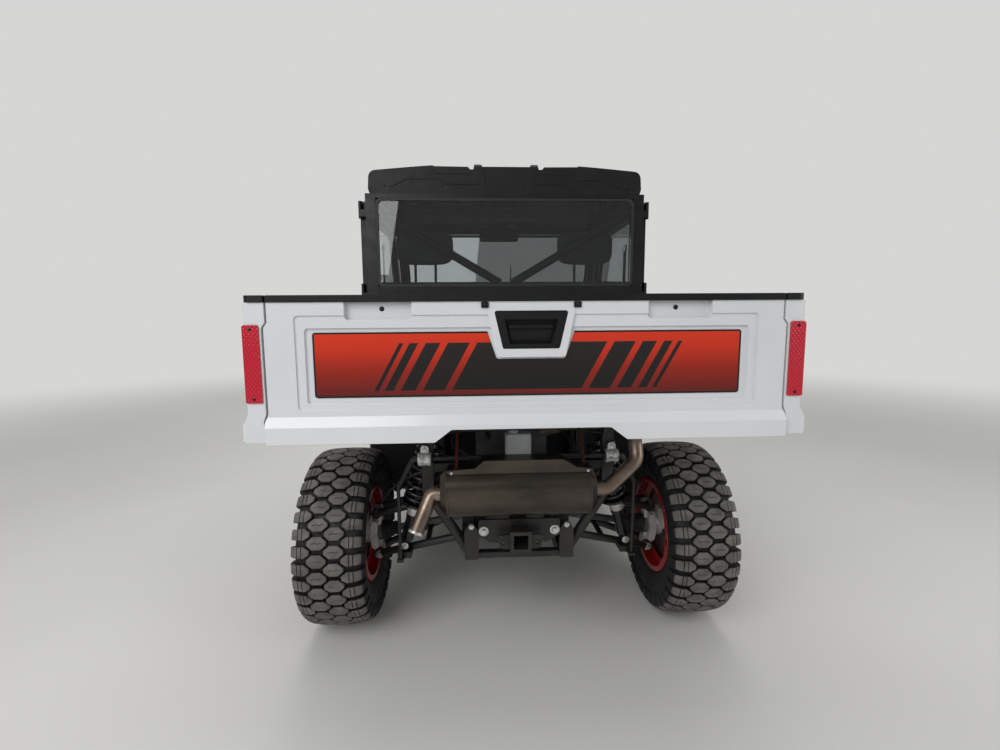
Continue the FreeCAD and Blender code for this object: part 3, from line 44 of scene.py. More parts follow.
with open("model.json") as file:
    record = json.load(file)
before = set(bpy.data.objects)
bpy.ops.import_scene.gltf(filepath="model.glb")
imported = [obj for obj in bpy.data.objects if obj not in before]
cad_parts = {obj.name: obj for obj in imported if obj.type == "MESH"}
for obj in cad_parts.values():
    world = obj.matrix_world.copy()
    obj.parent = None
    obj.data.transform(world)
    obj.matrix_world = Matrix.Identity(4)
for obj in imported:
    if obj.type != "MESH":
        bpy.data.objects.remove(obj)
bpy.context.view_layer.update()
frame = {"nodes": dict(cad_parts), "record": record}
NODES = frame["nodes"]

# Places shared by the pieces, in metres
FRONT_AXLE_Y = -1.167
REAR_AXLE_Y = 0.890
AXLE_Z = 0.343
WHEEL_X = 0.678
TYRE_R = 0.343
SIDES = ((1, "left"), (-1, "right"))
ACROSS = (1, 0, 0)
REARWARD = (0, 1, 0)
FORWARD = (0, -1, 0)
UPWARD = (0, 0, 1)
WHEELS = [(end, axle_y, sign, side) for end, axle_y in (("front", FRONT_AXLE_Y), ("rear", REAR_AXLE_Y))
          for sign, side in SIDES]

# The world's colour, and its strength to the camera, as light and in reflections
WORLD_COLOUR = "#DEDEDD"
WORLD_SEEN = 0.92
WORLD_LIT = 0.5
WORLD_GLOSS = 0.42


# Colour and node helpers

def linear(code):
    """An sRGB hex value as linear red, green, blue and a full alpha."""
    value = np.array([int(code[i:i + 2], 16) / 255 for i in (1, 3, 5)])
    low = value / 12.92
    high = ((value + 0.055) / 1.055) ** 2.4
    return (*np.where(value <= 0.04045, low, high).tolist(), 1.0)


def add(tree, kind, *inputs, **settings):
    """Adds a node of a kind. Values after the kind go to the inputs that it shows, in their order.

    Settings in small letters are its properties, and the others its inputs by name. An output given as a
    value is linked, and a string is an sRGB hex colour.
    """
    node = tree.nodes.new("ShaderNode" + kind)
    for key, value in settings.items():
        if key.islower():
            setattr(node, key, value)
    shown = [socket for socket in node.inputs if socket.enabled]
    named = [(node.inputs[key], value) for key, value in settings.items() if not key.islower()]
    for socket, value in (*zip(shown, inputs), *named):
        if isinstance(value, bpy.types.NodeSocket):
            tree.links.new(value, socket)
        else:
            socket.default_value = linear(value) if isinstance(value, str) else value
    return node


class Finish:
    """One material with its shader, object coordinates and the steps that most finishes share."""

    def __init__(self, name, **settings):
        self.material = bpy.data.materials.new(name)
        self.material.use_nodes = True
        self.tree = self.material.node_tree
        self.shader = self.tree.nodes["Principled BSDF"]
        for key, value in settings.items():
            key = key.replace("_", " ").title().replace("Ior", "IOR")
            self.shader.inputs[key].default_value = linear(value) if isinstance(value, str) else value
        self.place = add(self.tree, "TexCoord").outputs["Object"]
        self.x, self.y, self.z = add(self.tree, "SeparateXYZ", self.place).outputs
        self.aside = self.add("Math", self.x, operation="ABSOLUTE")
        self.material.diffuse_color = self.shader.inputs["Base Color"].default_value

    def link(self, name, output):
        """Feeds an output to one of the shader's inputs."""
        self.tree.links.new(output, self.shader.inputs[name])

    def add(self, kind, *inputs, **settings):
        """The first output that a new node shows."""
        node = add(self.tree, kind, *inputs, **settings)
        return next(socket for socket in node.outputs if socket.enabled)

    def noise(self, size_mm, detail=2.0, stretch=(1, 1, 1)):
        """Noise whose features are about a size in millimetres."""
        place = self.add("Mapping", Vector=self.place, Scale=stretch)
        return self.add("TexNoise", Vector=place, Scale=1000 / size_mm, Detail=detail, Roughness=0.5)

    def drift(self, *noise):
        """Noise spread over the range from 0 to 1."""
        return self.add("MapRange", self.noise(*noise), 0.3, 0.7)

    def waves(self, across, pitch):
        """Sine of a coordinate that repeats at a pitch in metres."""
        angle = self.add("Math", across, 2 * math.pi / pitch, operation="MULTIPLY")
        return self.add("Math", angle, operation="SINE")

    def from_axle(self, axle_y):
        """Distance from an axle's line, whose Y is a number or a socket."""
        along = self.add("Math", self.y, axle_y, operation="SUBTRACT")
        up = self.add("Math", self.z, AXLE_Z, operation="SUBTRACT")
        squares = [self.add("Math", side, side, operation="MULTIPLY") for side in (along, up)]
        return self.add("Math", self.add("Math", *squares, operation="ADD"), operation="SQRT")

    def mottled(self, low, high, size_mm, detail=3.0, stretch=(1, 1, 1)):
        """Base colour that drifts between two colours."""
        amount = self.drift(size_mm, detail, stretch)
        self.link("Base Color", self.add("Mix", amount, low, high, data_type="RGBA"))

    def rough(self, low, high, size_mm, stretch=(1, 1, 1)):
        """Roughness that drifts between two values, as handling and dust leave it."""
        wave = self.noise(size_mm, 4.0, stretch)
        self.link("Roughness", self.add("MapRange", wave, 0.3, 0.7, low, high))

    def surface(self, edge_mm=0.0, bumps=()):
        """Softened edges of a radius, then bumps of (height socket, depth in millimetres)."""
        normal = self.add("Bevel", samples=16, Radius=edge_mm / 1000) if edge_mm else None
        for height, depth_mm in bumps:
            bump = {"Strength": 1.0, "Distance": depth_mm / 1000, "Height": height}
            if normal:
                bump["Normal"] = normal
            normal = self.add("Bump", **bump)
        if normal:
            self.link("Normal", normal)
        return self.material


# Finishes, each named for the real material and how its surface was made

def thermoformed_white():
    """Rotomoulded and gloss capped white ABS: clean highlights with a faint orange peel."""
    paint = Finish("thermoformed_white_abs", base_color="#D9DBDE", roughness=0.24, ior=1.5, coat_weight=0.35,
                   coat_roughness=0.08)
    looks = bpy.context.scene.vehicle_looks
    paint.mottled(looks.body_dark, looks.body_light, 420)
    return paint.surface(2.0, [(paint.noise(14), 0.03)])


def grained_polypropylene():
    """Injection moulded black polypropylene with a leather-like grain, drawn 2 mm wide to show."""
    plastic = Finish("grained_polypropylene", base_color="#0F1011", roughness=0.5, ior=1.49,
                     specular_ior_level=0.3)
    plastic.mottled("#0D0E0F", "#141516", 160)
    plastic.rough(0.4, 0.58, 60)
    return plastic.surface(2.0, [(plastic.noise(2.0, 1.0), 0.05)])


def powder_coated_steel():
    """Satin black powder coat on the cab's tube and sheet steel: soft sheen and a fine orange peel."""
    coat = Finish("powder_coated_steel", base_color="#0E0F10", roughness=0.36, ior=1.5,
                  specular_ior_level=0.32)
    coat.mottled("#0C0D0E", "#131415", 120)
    coat.rough(0.3, 0.46, 45)
    return coat.surface(1.2, [(coat.noise(3.0), 0.05)])


def chassis_coat():
    """Black electrocoat under the vehicle, gone a little grey brown with road dust."""
    coat = Finish("dusty_chassis_electrocoat", base_color="#1E1D1C", roughness=0.44, ior=1.5)
    coat.mottled("#181716", "#2A2826", 70, 5.0)
    coat.rough(0.34, 0.56, 30)
    return coat.surface(1.2, [(coat.noise(3.0), 0.06)])


def tyre_rubber():
    """Carbon black tyre compound: matt, greyer on the lug tips, partly as scuffing and partly as a painted
    highlight, and nearly black in the grooves and on the sidewalls as painted shade.
    """
    rubber = Finish("carbon_black_tyre_rubber", base_color="#1B1B1C", roughness=0.78, ior=1.52)
    rear = rubber.add("Math", rubber.y, 0.0, operation="GREATER_THAN")
    radius = rubber.from_axle(rubber.add("MapRange", rear, 0.0, 1.0, FRONT_AXLE_Y, REAR_AXLE_Y))
    across = rubber.add("Math", rubber.aside, WHEEL_X, operation="SUBTRACT")
    aside = rubber.add("Math", across, operation="ABSOLUTE")
    # The tread is crowned, so the height at which a tip begins falls towards the shoulders
    square = rubber.add("Math", aside, aside, operation="MULTIPLY")
    crowned = rubber.add("Math", square, 0.58, operation="MULTIPLY")
    sloped = rubber.add("MapRange", aside, 0.090, 0.140, 0.0, 0.0160)
    level = rubber.add("Math", radius, rubber.add("Math", crowned, sloped, operation="ADD"), operation="ADD")
    # Lighter above the tip level, partly scuffing and partly painted highlight; nearly black below it,
    # painted shade in the grooves
    tip = rubber.add("MapRange", level, 0.3360, 0.3395)
    scuffed_and_lit = rubber.add("Mix", rubber.drift(38, 6.0), "#4A4845", "#6C6863", data_type="RGBA")
    rubber.link("Base Color", rubber.add("Mix", tip, "#0D0D0E", scuffed_and_lit, data_type="RGBA"))
    rubber.rough(0.55, 0.8, 24)
    return rubber.surface(0.6, [(rubber.noise(1.6), 0.1)])


def moulded_rubber():
    """Extruded black seal and grip rubber, smoother than the tyres."""
    rubber = Finish("extruded_epdm_rubber", base_color="#161617", roughness=0.6, ior=1.52)
    rubber.mottled("#131314", "#1E1E1F", 30)
    return rubber.surface(0.8, [(rubber.noise(2.0), 0.05)])


def red_rim_paint(axle_y):
    """Red gloss paint on the wheel, with painted shade behind its spokes, and the bare hub and rotor inboard
    of them.
    """
    paint = Finish("gloss_red_wheel_enamel", base_color="#A3161A", roughness=0.22, ior=1.5, coat_weight=0.6,
                   coat_roughness=0.06)
    radius = paint.from_axle(axle_y)
    inboard = paint.add("MapRange", paint.aside, 0.6785, 0.6795, 1.0, 0.0)
    near_hub = paint.add("MapRange", radius, 0.127, 0.128, 1.0, 0.0)
    near_rim = paint.add("MapRange", radius, 0.152, 0.153, 1.0, 0.0)
    bare = paint.add("Math", inboard, near_hub, operation="MULTIPLY")
    # Painted shade: inboard of the spokes and within the barrel's edge the red turns near black
    shade = paint.add("Math", inboard, near_rim, operation="MULTIPLY")
    looks = bpy.context.scene.vehicle_looks
    red = paint.add("Mix", paint.drift(90), looks.rim_dark, looks.rim_light, data_type="RGBA")
    red_with_painted_shade = paint.add("Mix", shade, red, "#1A1516", data_type="RGBA")
    paint.link("Base Color", paint.add("Mix", bare, red_with_painted_shade, "#5B5A58", data_type="RGBA"))
    paint.link("Metallic", bare)
    paint.link("Roughness", paint.add("MapRange", bare, 0.0, 1.0, 0.22, 0.42))
    return paint.surface(1.5, [(paint.noise(6), 0.03)])


def cast_aluminium():
    """Sand cast aluminium knuckles: dull silver with a fine cast grain."""
    metal = Finish("sand_cast_aluminium", base_color="#CFCDC8", metallic=0.5, roughness=0.4)
    metal.mottled("#C0BEB9", "#DAD8D4", 40)
    metal.rough(0.34, 0.55, 12)
    return metal.surface(1.5, [(metal.noise(1.8), 0.18)])


def zinc_plated_steel():
    """Zinc plated brackets and bolts: bright, slightly cloudy silver."""
    metal = Finish("zinc_plated_steel", base_color="#CFCFCB", metallic=0.75, roughness=0.3)
    metal.mottled("#BFBFBB", "#D9D9D6", 14)
    metal.rough(0.22, 0.42, 10)
    return metal.surface(0.8, [(metal.noise(2.5), 0.04)])


def aluminised_exhaust_steel():
    """Aluminised and heat tinted exhaust steel: brown grey, brushed along its length."""
    metal = Finish("heat_tinted_exhaust_steel", base_color="#8C7C70", metallic=1.0, roughness=0.34)
    metal.mottled("#73665C", "#A08E80", 90, stretch=(0.4, 1, 1))
    metal.rough(0.28, 0.46, 18, stretch=(0.15, 1, 1))
    return metal.surface(1.5, [(metal.noise(3.0, stretch=(0.1, 1, 1)), 0.05)])


def coated_muffler_steel():
    """Heat proof coat on the drum and shield, gone grey brown; its hanger rods, above it, have rusted."""
    metal = Finish("heat_browned_muffler_coat", base_color="#4C4641", metallic=0.9, roughness=0.32)
    coat = metal.add("Mix", metal.drift(70, 4.0, (0.4, 1, 1)), "#433E3A", "#5C534B", data_type="RGBA")
    above = metal.add("Math", metal.z, 0.7115, operation="GREATER_THAN")
    aside = metal.add("Math", metal.aside, 0.2145, operation="GREATER_THAN")
    rod = metal.add("Math", above, aside, operation="MULTIPLY")
    scale = metal.add("MapRange", metal.noise(7, 5.0), 0.35, 0.65)
    rust = metal.add("Mix", scale, "#4A2A22", "#7A4A3C", data_type="RGBA")
    metal.link("Base Color", metal.add("Mix", rod, coat, rust, data_type="RGBA"))
    metal.link("Roughness", metal.add("MapRange", rod, 0.0, 1.0, 0.3, 0.7))
    return metal.surface(1.5, [(metal.noise(3.0, stretch=(0.1, 1, 1)), 0.05)])


def tinted_glass():
    """Toughened glazing with a light grey green tint."""
    glass = Finish("tinted_toughened_glass", base_color="#A2A6A6", roughness=0.0, ior=1.5,
                   transmission_weight=1.0, specular_ior_level=0.35)
    return glass.surface()


def red_lens():
    """Red acrylic lens whose inner face is moulded in small prisms, 11 mm apart, with a faint painted glow
    for the light that it throws back; the lamp is off.
    """
    # The emission is a painted glow, not a lit lamp
    lens = Finish("red_acrylic_lens", base_color="#B90420", roughness=0.12, ior=1.49, coat_weight=1.0,
                  coat_roughness=0.03, emission_color="#C00018", emission_strength=0.12)
    prisms = lens.add("Math", lens.waves(lens.x, 0.011), lens.waves(lens.z, 0.014), operation="MULTIPLY")
    face = lens.add("MapRange", prisms, -0.6, 0.6)
    lens.link("Base Color", lens.add("Mix", face, "#9E0420", "#C20A2A", data_type="RGBA"))
    return lens.surface(1.0, [(prisms, 0.3)])


def clear_lens():
    """Clear polycarbonate headlamp lens, fluted 9 mm apart."""
    lens = Finish("fluted_polycarbonate_lens", base_color="#E4E8EA", roughness=0.06, ior=1.58,
                  transmission_weight=0.8)
    return lens.surface(1.0, [(lens.waves(lens.x, 0.009), 0.3)])


def seat_vinyl():
    """Embossed black marine vinyl: a pebble grain about 2 mm wide with a soft sheen."""
    vinyl = Finish("embossed_seat_vinyl", base_color="#1B1C1E", roughness=0.58, ior=1.5, sheen_weight=0.1)
    vinyl.mottled("#18191B", "#232427", 70)
    cells = vinyl.add("TexVoronoi", Vector=vinyl.place, Scale=480.0)
    return vinyl.surface(0.0, [(cells, 0.25), (vinyl.noise(30), 0.6)])


def printed_panel():
    """Gloss laminated film: orange red fading to maroon, with leaning black bars and a dark line round its
    edge that is painted shade from the recess it sits in.
    """
    film = Finish("gloss_printed_vinyl_film", base_color="#C63214", roughness=0.2, ior=1.5, coat_weight=0.3,
                  coat_roughness=0.05)
    low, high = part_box("tailgate_panel")
    height = film.add("MapRange", film.z, low.z, high.z)
    ramp = film.add("ValToRGB", height)
    stops = ramp.node.color_ramp.elements
    stops[0].color = linear("#5A1713")
    stops[1].color = linear("#DA3412")
    stops.new(0.42).color = linear("#98200F")
    stops.new(0.72).color = linear("#C92F14")
    # Each bar is a stretch of the distance from the middle, which leans 0.55 aside for each unit up
    up = film.add("Math", film.z, 1.09, operation="SUBTRACT")
    leaning = film.add("Math", up, 0.55, operation="MULTIPLY")
    across = film.add("Math", film.x, leaning, operation="ADD")
    aside = film.add("Math", across, operation="ABSOLUTE")
    bars = film.add("ValToRGB", aside)
    bars.node.color_ramp.interpolation = "CONSTANT"
    marks = bars.node.color_ramp.elements
    marks[0].color = (1, 1, 1, 1)
    marks[1].position = 0.175
    marks[1].color = (0, 0, 0, 1)
    for start, end in ((0.193, 0.253), (0.271, 0.311), (0.329, 0.352), (0.370, 0.380)):
        marks.new(start).color = (1, 1, 1, 1)
        marks.new(end).color = (0, 0, 0, 1)
    above = film.add("MapRange", height, 0.1, 0.101)
    below = film.add("MapRange", height, 0.83, 0.831, 1.0, 0.0)
    within = film.add("Math", above, below, operation="MULTIPLY")
    bar = film.add("Math", bars, within, operation="MULTIPLY")
    ink = film.add("Mix", height, "#0B0B0C", "#26221F", data_type="RGBA")
    inked = film.add("Mix", bar, ramp, ink, data_type="RGBA")
    # Painted shade: a dark band about 5 mm wide round the film's edge, where the recess wall meets it
    side = film.add("MapRange", film.aside, high.x - 0.0050, high.x - 0.0045)
    top = film.add("MapRange", film.z, high.z - 0.0050, high.z - 0.0045)
    bottom = film.add("MapRange", film.z, low.z + 0.0045, low.z + 0.0050, 1.0, 0.0)
    level = film.add("Math", top, bottom, operation="MAXIMUM")
    edge = film.add("Math", side, level, operation="MAXIMUM")
    film.link("Base Color", film.add("Mix", edge, inked, "#120C0B", data_type="RGBA"))
    return film.surface(0.8, [(film.noise(8), 0.02)])


def painted_casting():
    """Grey painted iron and aluminium castings, slightly rough and oily."""
    casting = Finish("grey_painted_casting", base_color="#4B4C4E", roughness=0.5, ior=1.5)
    casting.mottled("#3D3E40", "#5A5B5C", 70, detail=5.0)
    return casting.surface(2.0, [(casting.noise(2.5), 0.2)])


def spring_enamel():
    """Gloss black powder coat on spring wire."""
    coat = Finish("gloss_black_spring_coat", base_color="#0C0D0E", roughness=0.24, ior=1.5, coat_weight=0.3)
    coat.rough(0.2, 0.34, 20)
    return coat.surface(0.0, [(coat.noise(5), 0.03)])


def seat_webbing():
    """Woven black polyester webbing: ribs 2 mm apart across the belt."""
    webbing = Finish("woven_polyester_webbing", base_color="#1C1C1D", roughness=0.7, ior=1.5,
                     sheen_weight=0.2)
    webbing.mottled("#18181A", "#242426", 20)
    return webbing.surface(0.0, [(webbing.waves(webbing.z, 0.002), 0.2)])


def mirror_glass():
    """Silvered mirror glass with the slight waviness of rolled sheet."""
    silver = Finish("silvered_mirror_glass", base_color="#C9CDCE", metallic=1.0, roughness=0.04)
    silver.mottled("#C4C8C9", "#CED1D2", 60)
    return silver.surface(0.6, [(silver.noise(80), 0.02)])


def dark_display():
    """Smoked cover glass of the gauge and the display, unlit."""
    cover = Finish("smoked_display_glass", base_color="#0A0C0F", roughness=0.08, ior=1.5, coat_weight=0.6)
    cover.mottled("#090B0D", "#10141A", 30)
    return cover.surface(1.0, [(cover.noise(40), 0.01)])


def pale_floor():
    """Sealed pale studio floor, softly uneven, which the camera sees fade into the world's colour."""
    floor = Finish("sealed_pale_floor", base_color="#D6D5D3", roughness=0.6, ior=1.45)
    floor.mottled("#D4D3D1", "#D9D8D6", 1400)
    floor.surface(0.0, [(floor.noise(60), 0.05)])
    tree = floor.tree
    length = floor.add("VectorMath", floor.place, operation="LENGTH")
    away = floor.add("MapRange", length, 2.5, 11.0, interpolation_type="SMOOTHSTEP")
    seen = add(tree, "LightPath").outputs["Is Camera Ray"]
    glow = floor.add("Emission", Color=WORLD_COLOUR, Strength=WORLD_SEEN)
    fading = floor.add("Math", away, seen, operation="MULTIPLY")
    mixed = floor.add("MixShader", fading, floor.shader.outputs[0], glow)
    tree.links.new(mixed, tree.nodes["Material Output"].inputs["Surface"])
    return floor.material


def grey_polyethylene():
    """Blow moulded grey white polyethylene bottle, slightly see through."""
    plastic = Finish("blow_moulded_polyethylene", base_color="#DADCDE", roughness=0.45, ior=1.5,
                     subsurface_weight=0.1)
    plastic.mottled("#D2D5D7", "#E2E4E6", 50)
    return plastic.surface(2.0, [(plastic.noise(12), 0.1)])


MAKERS = {
    "body_white": thermoformed_white, "black_plastic": grained_polypropylene,
    "satin_black": powder_coated_steel, "frame_black": chassis_coat, "tyre": tyre_rubber,
    "cast_metal": cast_aluminium, "steel": zinc_plated_steel, "exhaust_steel": aluminised_exhaust_steel,
    "glass": tinted_glass, "lamp_red": red_lens, "lamp_clear": clear_lens, "rubber": moulded_rubber,
    "seat": seat_vinyl, "panel_print": printed_panel, "engine_grey": painted_casting,
    "spring_black": spring_enamel, "bottle": grey_polyethylene, "muffler": coated_muffler_steel,
    "webbing": seat_webbing, "mirror": mirror_glass, "display": dark_display,
}
# Finishes made so far, each under its slot; some, such as each axle's rim paint and the muffler's coat, are
# not slots of the record
MADE = {}


def finish(slot):
    """The material of a slot, made once. The rims' paint knows which axle it is on."""
    if slot not in MADE:
        if slot.startswith("rim_red"):
            MADE[slot] = red_rim_paint(FRONT_AXLE_Y if slot.endswith("front") else REAR_AXLE_Y)
        else:
            MADE[slot] = MAKERS[slot]()
    return MADE[slot]


# Mesh helpers: every shape is worked out as whole arrays

def quads(rows, columns, close_rows=False, close_columns=False):
    """Faces of a grid of points that run row after row."""
    i, j = np.meshgrid(np.arange(rows if close_rows else rows - 1),
                       np.arange(columns if close_columns else columns - 1), indexing="ij")
    after, beside = (i + 1) % rows, (j + 1) % columns
    corners = [i * columns + j, i * columns + beside, after * columns + beside, after * columns + j]
    return np.stack(corners, -1).reshape(-1, 4).tolist()


def joined(*shapes):
    """One shape from several (points, faces)."""
    points, faces, start = [], [], 0
    for shape_points, shape_faces in shapes:
        points.append(shape_points)
        faces += [[index + start for index in face] for face in shape_faces]
        start += len(shape_points)
    return np.concatenate(points), faces


def lofted(rings):
    """Skin over closed rings of points, an array of (ring, point, xyz), with flat ends."""
    count, size = rings.shape[:2]
    faces = quads(count, size, close_columns=True)
    faces.append(list(range(size))[::-1])
    faces.append([(count - 1) * size + i for i in range(size)])
    return rings.reshape(-1, 3), faces


def revolved(profile, centre=(0, 0, 0), axis=ACROSS, sides=32, closed=False):
    """Surface of revolution: each (along, radius) of the profile turned about an axis through the centre."""
    profile = np.asarray(profile, float)
    axis = np.asarray(axis, float) / np.linalg.norm(axis)
    side = np.cross(axis, (0, 0, 1) if abs(axis[2]) < 0.9 else (0, 1, 0))
    side /= np.linalg.norm(side)
    up = np.cross(axis, side)
    turn = np.arange(sides) * 2 * math.pi / sides
    spoke = np.cos(turn)[:, None] * side + np.sin(turn)[:, None] * up
    points = np.asarray(centre) + profile[:, 0, None, None] * axis + profile[:, 1, None, None] * spoke
    if closed:
        return points.reshape(-1, 3), quads(len(profile), sides, True, True)
    return lofted(points)


def tube(path, radius, sides=12, up=UPWARD):
    """Round section carried along a path; the section keeps one side towards the up direction."""
    path = np.asarray(path, float)
    way = np.gradient(path, axis=0)
    way /= np.linalg.norm(way, axis=1)[:, None]
    side = np.cross(way, up)
    side /= np.linalg.norm(side, axis=1)[:, None]
    top = np.cross(side, way)
    turn = np.arange(sides) * 2 * math.pi / sides
    radius = np.broadcast_to(radius, len(path))[:, None, None]
    rings = path[:, None] + radius * (np.cos(turn)[None, :, None] * side[:, None]
                                      + np.sin(turn)[None, :, None] * top[:, None])
    return lofted(rings)


def curve(points, count):
    """Smooth line through given points, as a uniform Catmull-Rom spline with a count of steps each."""
    points = np.asarray(points, float)
    ends = np.concatenate([2 * points[:1] - points[1:2], points, 2 * points[-1:] - points[-2:-1]])
    place = np.linspace(0, len(points) - 1, count * (len(points) - 1) + 1)
    start = np.minimum(place.astype(int), len(points) - 2)
    t = (place - start)[:, None]
    a, b, c, d = (ends[start + k] for k in range(4))
    square = (2 * a - 5 * b + 4 * c - d) * t ** 2
    cube = (3 * b - a - 3 * c + d) * t ** 3
    return 0.5 * (2 * b + (c - a) * t + square + cube)


def inset(outline, amount):
    """Closed outline moved inwards by an amount along the mean of its two sides' normals."""
    after = np.roll(outline, -1, 0) - outline
    after /= np.linalg.norm(after, axis=1)[:, None]
    before = np.roll(after, 1, 0)
    normal = np.stack([-after[:, 1], after[:, 0]], 1)
    normal_before = np.stack([-before[:, 1], before[:, 0]], 1)
    bisector = normal + normal_before
    bisector /= (bisector * bisector).sum(1)[:, None] / 2
    return outline + bisector * amount


def rounded_outline(corners, steps=5):
    """Outline whose corners (u, v, radius) are rounded by quadratic curves between tangent points."""
    corners = np.asarray(corners, float)
    place, radius = corners[:, :2], corners[:, 2]
    back = np.roll(place, 1, 0) - place
    ahead = np.roll(place, -1, 0) - place
    back_length = np.linalg.norm(back, axis=1)
    ahead_length = np.linalg.norm(ahead, axis=1)
    reach = np.minimum(radius, 0.45 * np.minimum(back_length, ahead_length))[:, None]
    start = place + back / back_length[:, None] * reach
    end = place + ahead / ahead_length[:, None] * reach
    t = np.linspace(0, 1, steps)[None, :, None]
    arcs = (1 - t) ** 2 * start[:, None] + 2 * t * (1 - t) * place[:, None] + t ** 2 * end[:, None]
    return arcs.reshape(-1, 2)


def rounded_box(u0, v0, u1, v1, radius, steps=5):
    """Outline of a rectangle with one radius at its corners."""
    return rounded_outline([(u0, v0, radius), (u1, v0, radius), (u1, v1, radius), (u0, v1, radius)], steps)


def laid(outline, level, normal):
    """Points of a flat outline at a level of an axis."""
    order = {"x": (2, 0, 1), "y": (0, 2, 1), "z": (0, 1, 2)}[normal]
    return np.concatenate([outline, np.full((len(outline), 1), level)], 1)[:, order]


def prism(outline, low, high, edge, normal="y"):
    """Plate from an anticlockwise outline between two levels of an axis, with chamfered edges."""
    drawn = inset(outline, edge)
    levels = ((drawn, low), (outline, low + edge), (outline, high - edge), (drawn, high))
    rings = [laid(*row, normal) for row in levels]
    if normal == "y":
        rings.reverse()
    return lofted(np.array(rings))


def framed(outline, width, low, high, edge, normal="y"):
    """Closed frame between an anticlockwise outline and the same outline moved in by a width."""
    inner = inset(outline, width)
    rows = ((inner, low), (outline, low), (outline, high - edge), (inset(outline, edge), high),
            (inset(outline, width - edge), high), (inner, high - edge))
    return np.concatenate([laid(*row, normal) for row in rows]), quads(len(rows), len(outline), True, True)


def strap(points, width, thickness=0.0016):
    """Flat band along a smooth line: its width lies along Y and its edges are rounded."""
    path = curve(points, 8)
    side = np.array(REARWARD)
    thick = np.cross(np.gradient(path, axis=0), side)
    thick /= np.linalg.norm(thick, axis=1)[:, None]
    w, t = width / 2, thickness / 2
    section = np.array([(-w, -0.4 * t), (-0.96 * w, -t), (0.96 * w, -t), (w, -0.4 * t),
                        (w, 0.4 * t), (0.96 * w, t), (-0.96 * w, t), (-w, 0.4 * t)])
    return lofted(path[:, None] + section[None, :, :1] * side + section[None, :, 1:] * thick[:, None])


def block(low, high, radius=0.003, edge=0.001, normal="y"):
    """Small moulded part filling a box, with rounded corners seen along one axis and chamfered rims."""
    u, v, w = {"x": (1, 2, 0), "y": (0, 2, 1), "z": (0, 1, 2)}[normal]
    return prism(rounded_box(low[u], low[v], high[u], high[v], radius), low[w], high[w], edge, normal)


def plate(half_x, half_y, low, high, radius, edge, axis=UPWARD, centre=(0, 0, 0)):
    """Small plate between two levels over the origin, turned to an axis and moved to a centre."""
    flat = block((-half_x, -half_y, low), (half_x, half_y, high), radius, edge, "z")
    return turned_to(flat, axis, centre)


def turned_to(shape, axis, centre):
    """Shape built round +Z through the origin, turned to an axis and moved to a centre."""
    points, faces = shape
    turn = Vector(UPWARD).rotation_difference(Vector(axis)).to_matrix()
    return points @ np.array(turn).T + np.asarray(centre), faces


def bolt(centre, axis, size=0.013, washer=True):
    """Hexagon head across flats of the size, on its washer, standing on the centre."""
    turn = np.arange(6) * math.pi / 3
    flats = size / math.sqrt(3) * np.stack([np.cos(turn), np.sin(turn)], 1)
    shapes = [prism(flats, 0.0015, 0.0015 + size * 0.55, size * 0.06, "z")]
    if washer:
        profile = [(0, size * 0.75), (0.0008, size * 0.85), (0.0022, size * 0.85), (0.003, size * 0.7)]
        shapes.append(revolved(profile, axis=UPWARD, sides=20))
    return turned_to(joined(*shapes), axis, centre)


def dome(centre, axis, radius, height):
    """Button head screw or push rivet."""
    t = np.linspace(0, 0.92, 6) * math.pi / 2
    profile = np.stack([height * np.sin(t), radius * np.cos(t)], 1)
    return revolved(profile, centre, axis, sides=16)


def piece(name, shape, body, slot, replaces=(), smooth=40.0):
    """Makes the mesh of a shape, gives it its finish, and lets it ride on a body."""
    points, faces = shape
    mesh = bpy.data.meshes.new(name)
    mesh.from_pydata(np.asarray(points).tolist(), [], faces)
    shell = bmesh.new()
    shell.from_mesh(mesh)
    bmesh.ops.recalc_face_normals(shell, faces=shell.faces)
    shell.to_mesh(mesh)
    shell.free()
    mesh.polygons.foreach_set("use_smooth", np.ones(len(mesh.polygons), bool))
    mesh.set_sharp_from_angle(angle=math.radians(smooth))
    mesh.validate()
    made = bpy.data.objects.new(name, mesh)
    bpy.context.scene.collection.objects.link(made)
    mesh.materials.append(finish(slot))
    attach(made, body)
    if replaces:
        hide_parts(*replaces)
    return made


def sided(shape):
    """A shape and its mirror image across the middle plane, with the faces turned back outwards."""
    points, faces = shape
    return joined(shape, (points * (-1, 1, 1), [face[::-1] for face in faces]))


def facing(shape, sign):
    """A shape built for the left side, or its mirror image where the sign is negative."""
    return shape[0] * (sign, 1, 1), shape[1]


# Tyres

# Half of the carcass from the crown to the bead, and the liner that closes it, as (across, radius)
CARCASS = (
    (0.0, 0.3240), (0.050, 0.3230), (0.088, 0.3195), (0.104, 0.3130), (0.1130, 0.3000), (0.1155, 0.2890),
    (0.1182, 0.2860), (0.1182, 0.2800), (0.1168, 0.2770), (0.1180, 0.2560), (0.1195, 0.2530),
    (0.1180, 0.2500), (0.1150, 0.2340), (0.1060, 0.2120), (0.0975, 0.2010), (0.0925, 0.1960),
    (0.0920, 0.1870), (0.0920, 0.1786))
LINER = ((-0.0835, 0.1786), (-0.0840, 0.196), (-0.108, 0.240), (-0.104, 0.295), (0.104, 0.295),
         (0.108, 0.240), (0.0840, 0.196), (0.0835, 0.1786))
PITCHES = 35


def smoothed(corners, rounds=3):
    """Open line with its corners cut by a quarter of each side, round after round."""
    line = np.asarray(corners, float)
    for _ in range(rounds):
        near = line[:-1] * 0.75 + line[1:] * 0.25
        far = line[:-1] * 0.25 + line[1:] * 0.75
        line = np.concatenate([line[:1], np.stack([near, far], 1).reshape(-1, 2), line[-1:]])
    return line


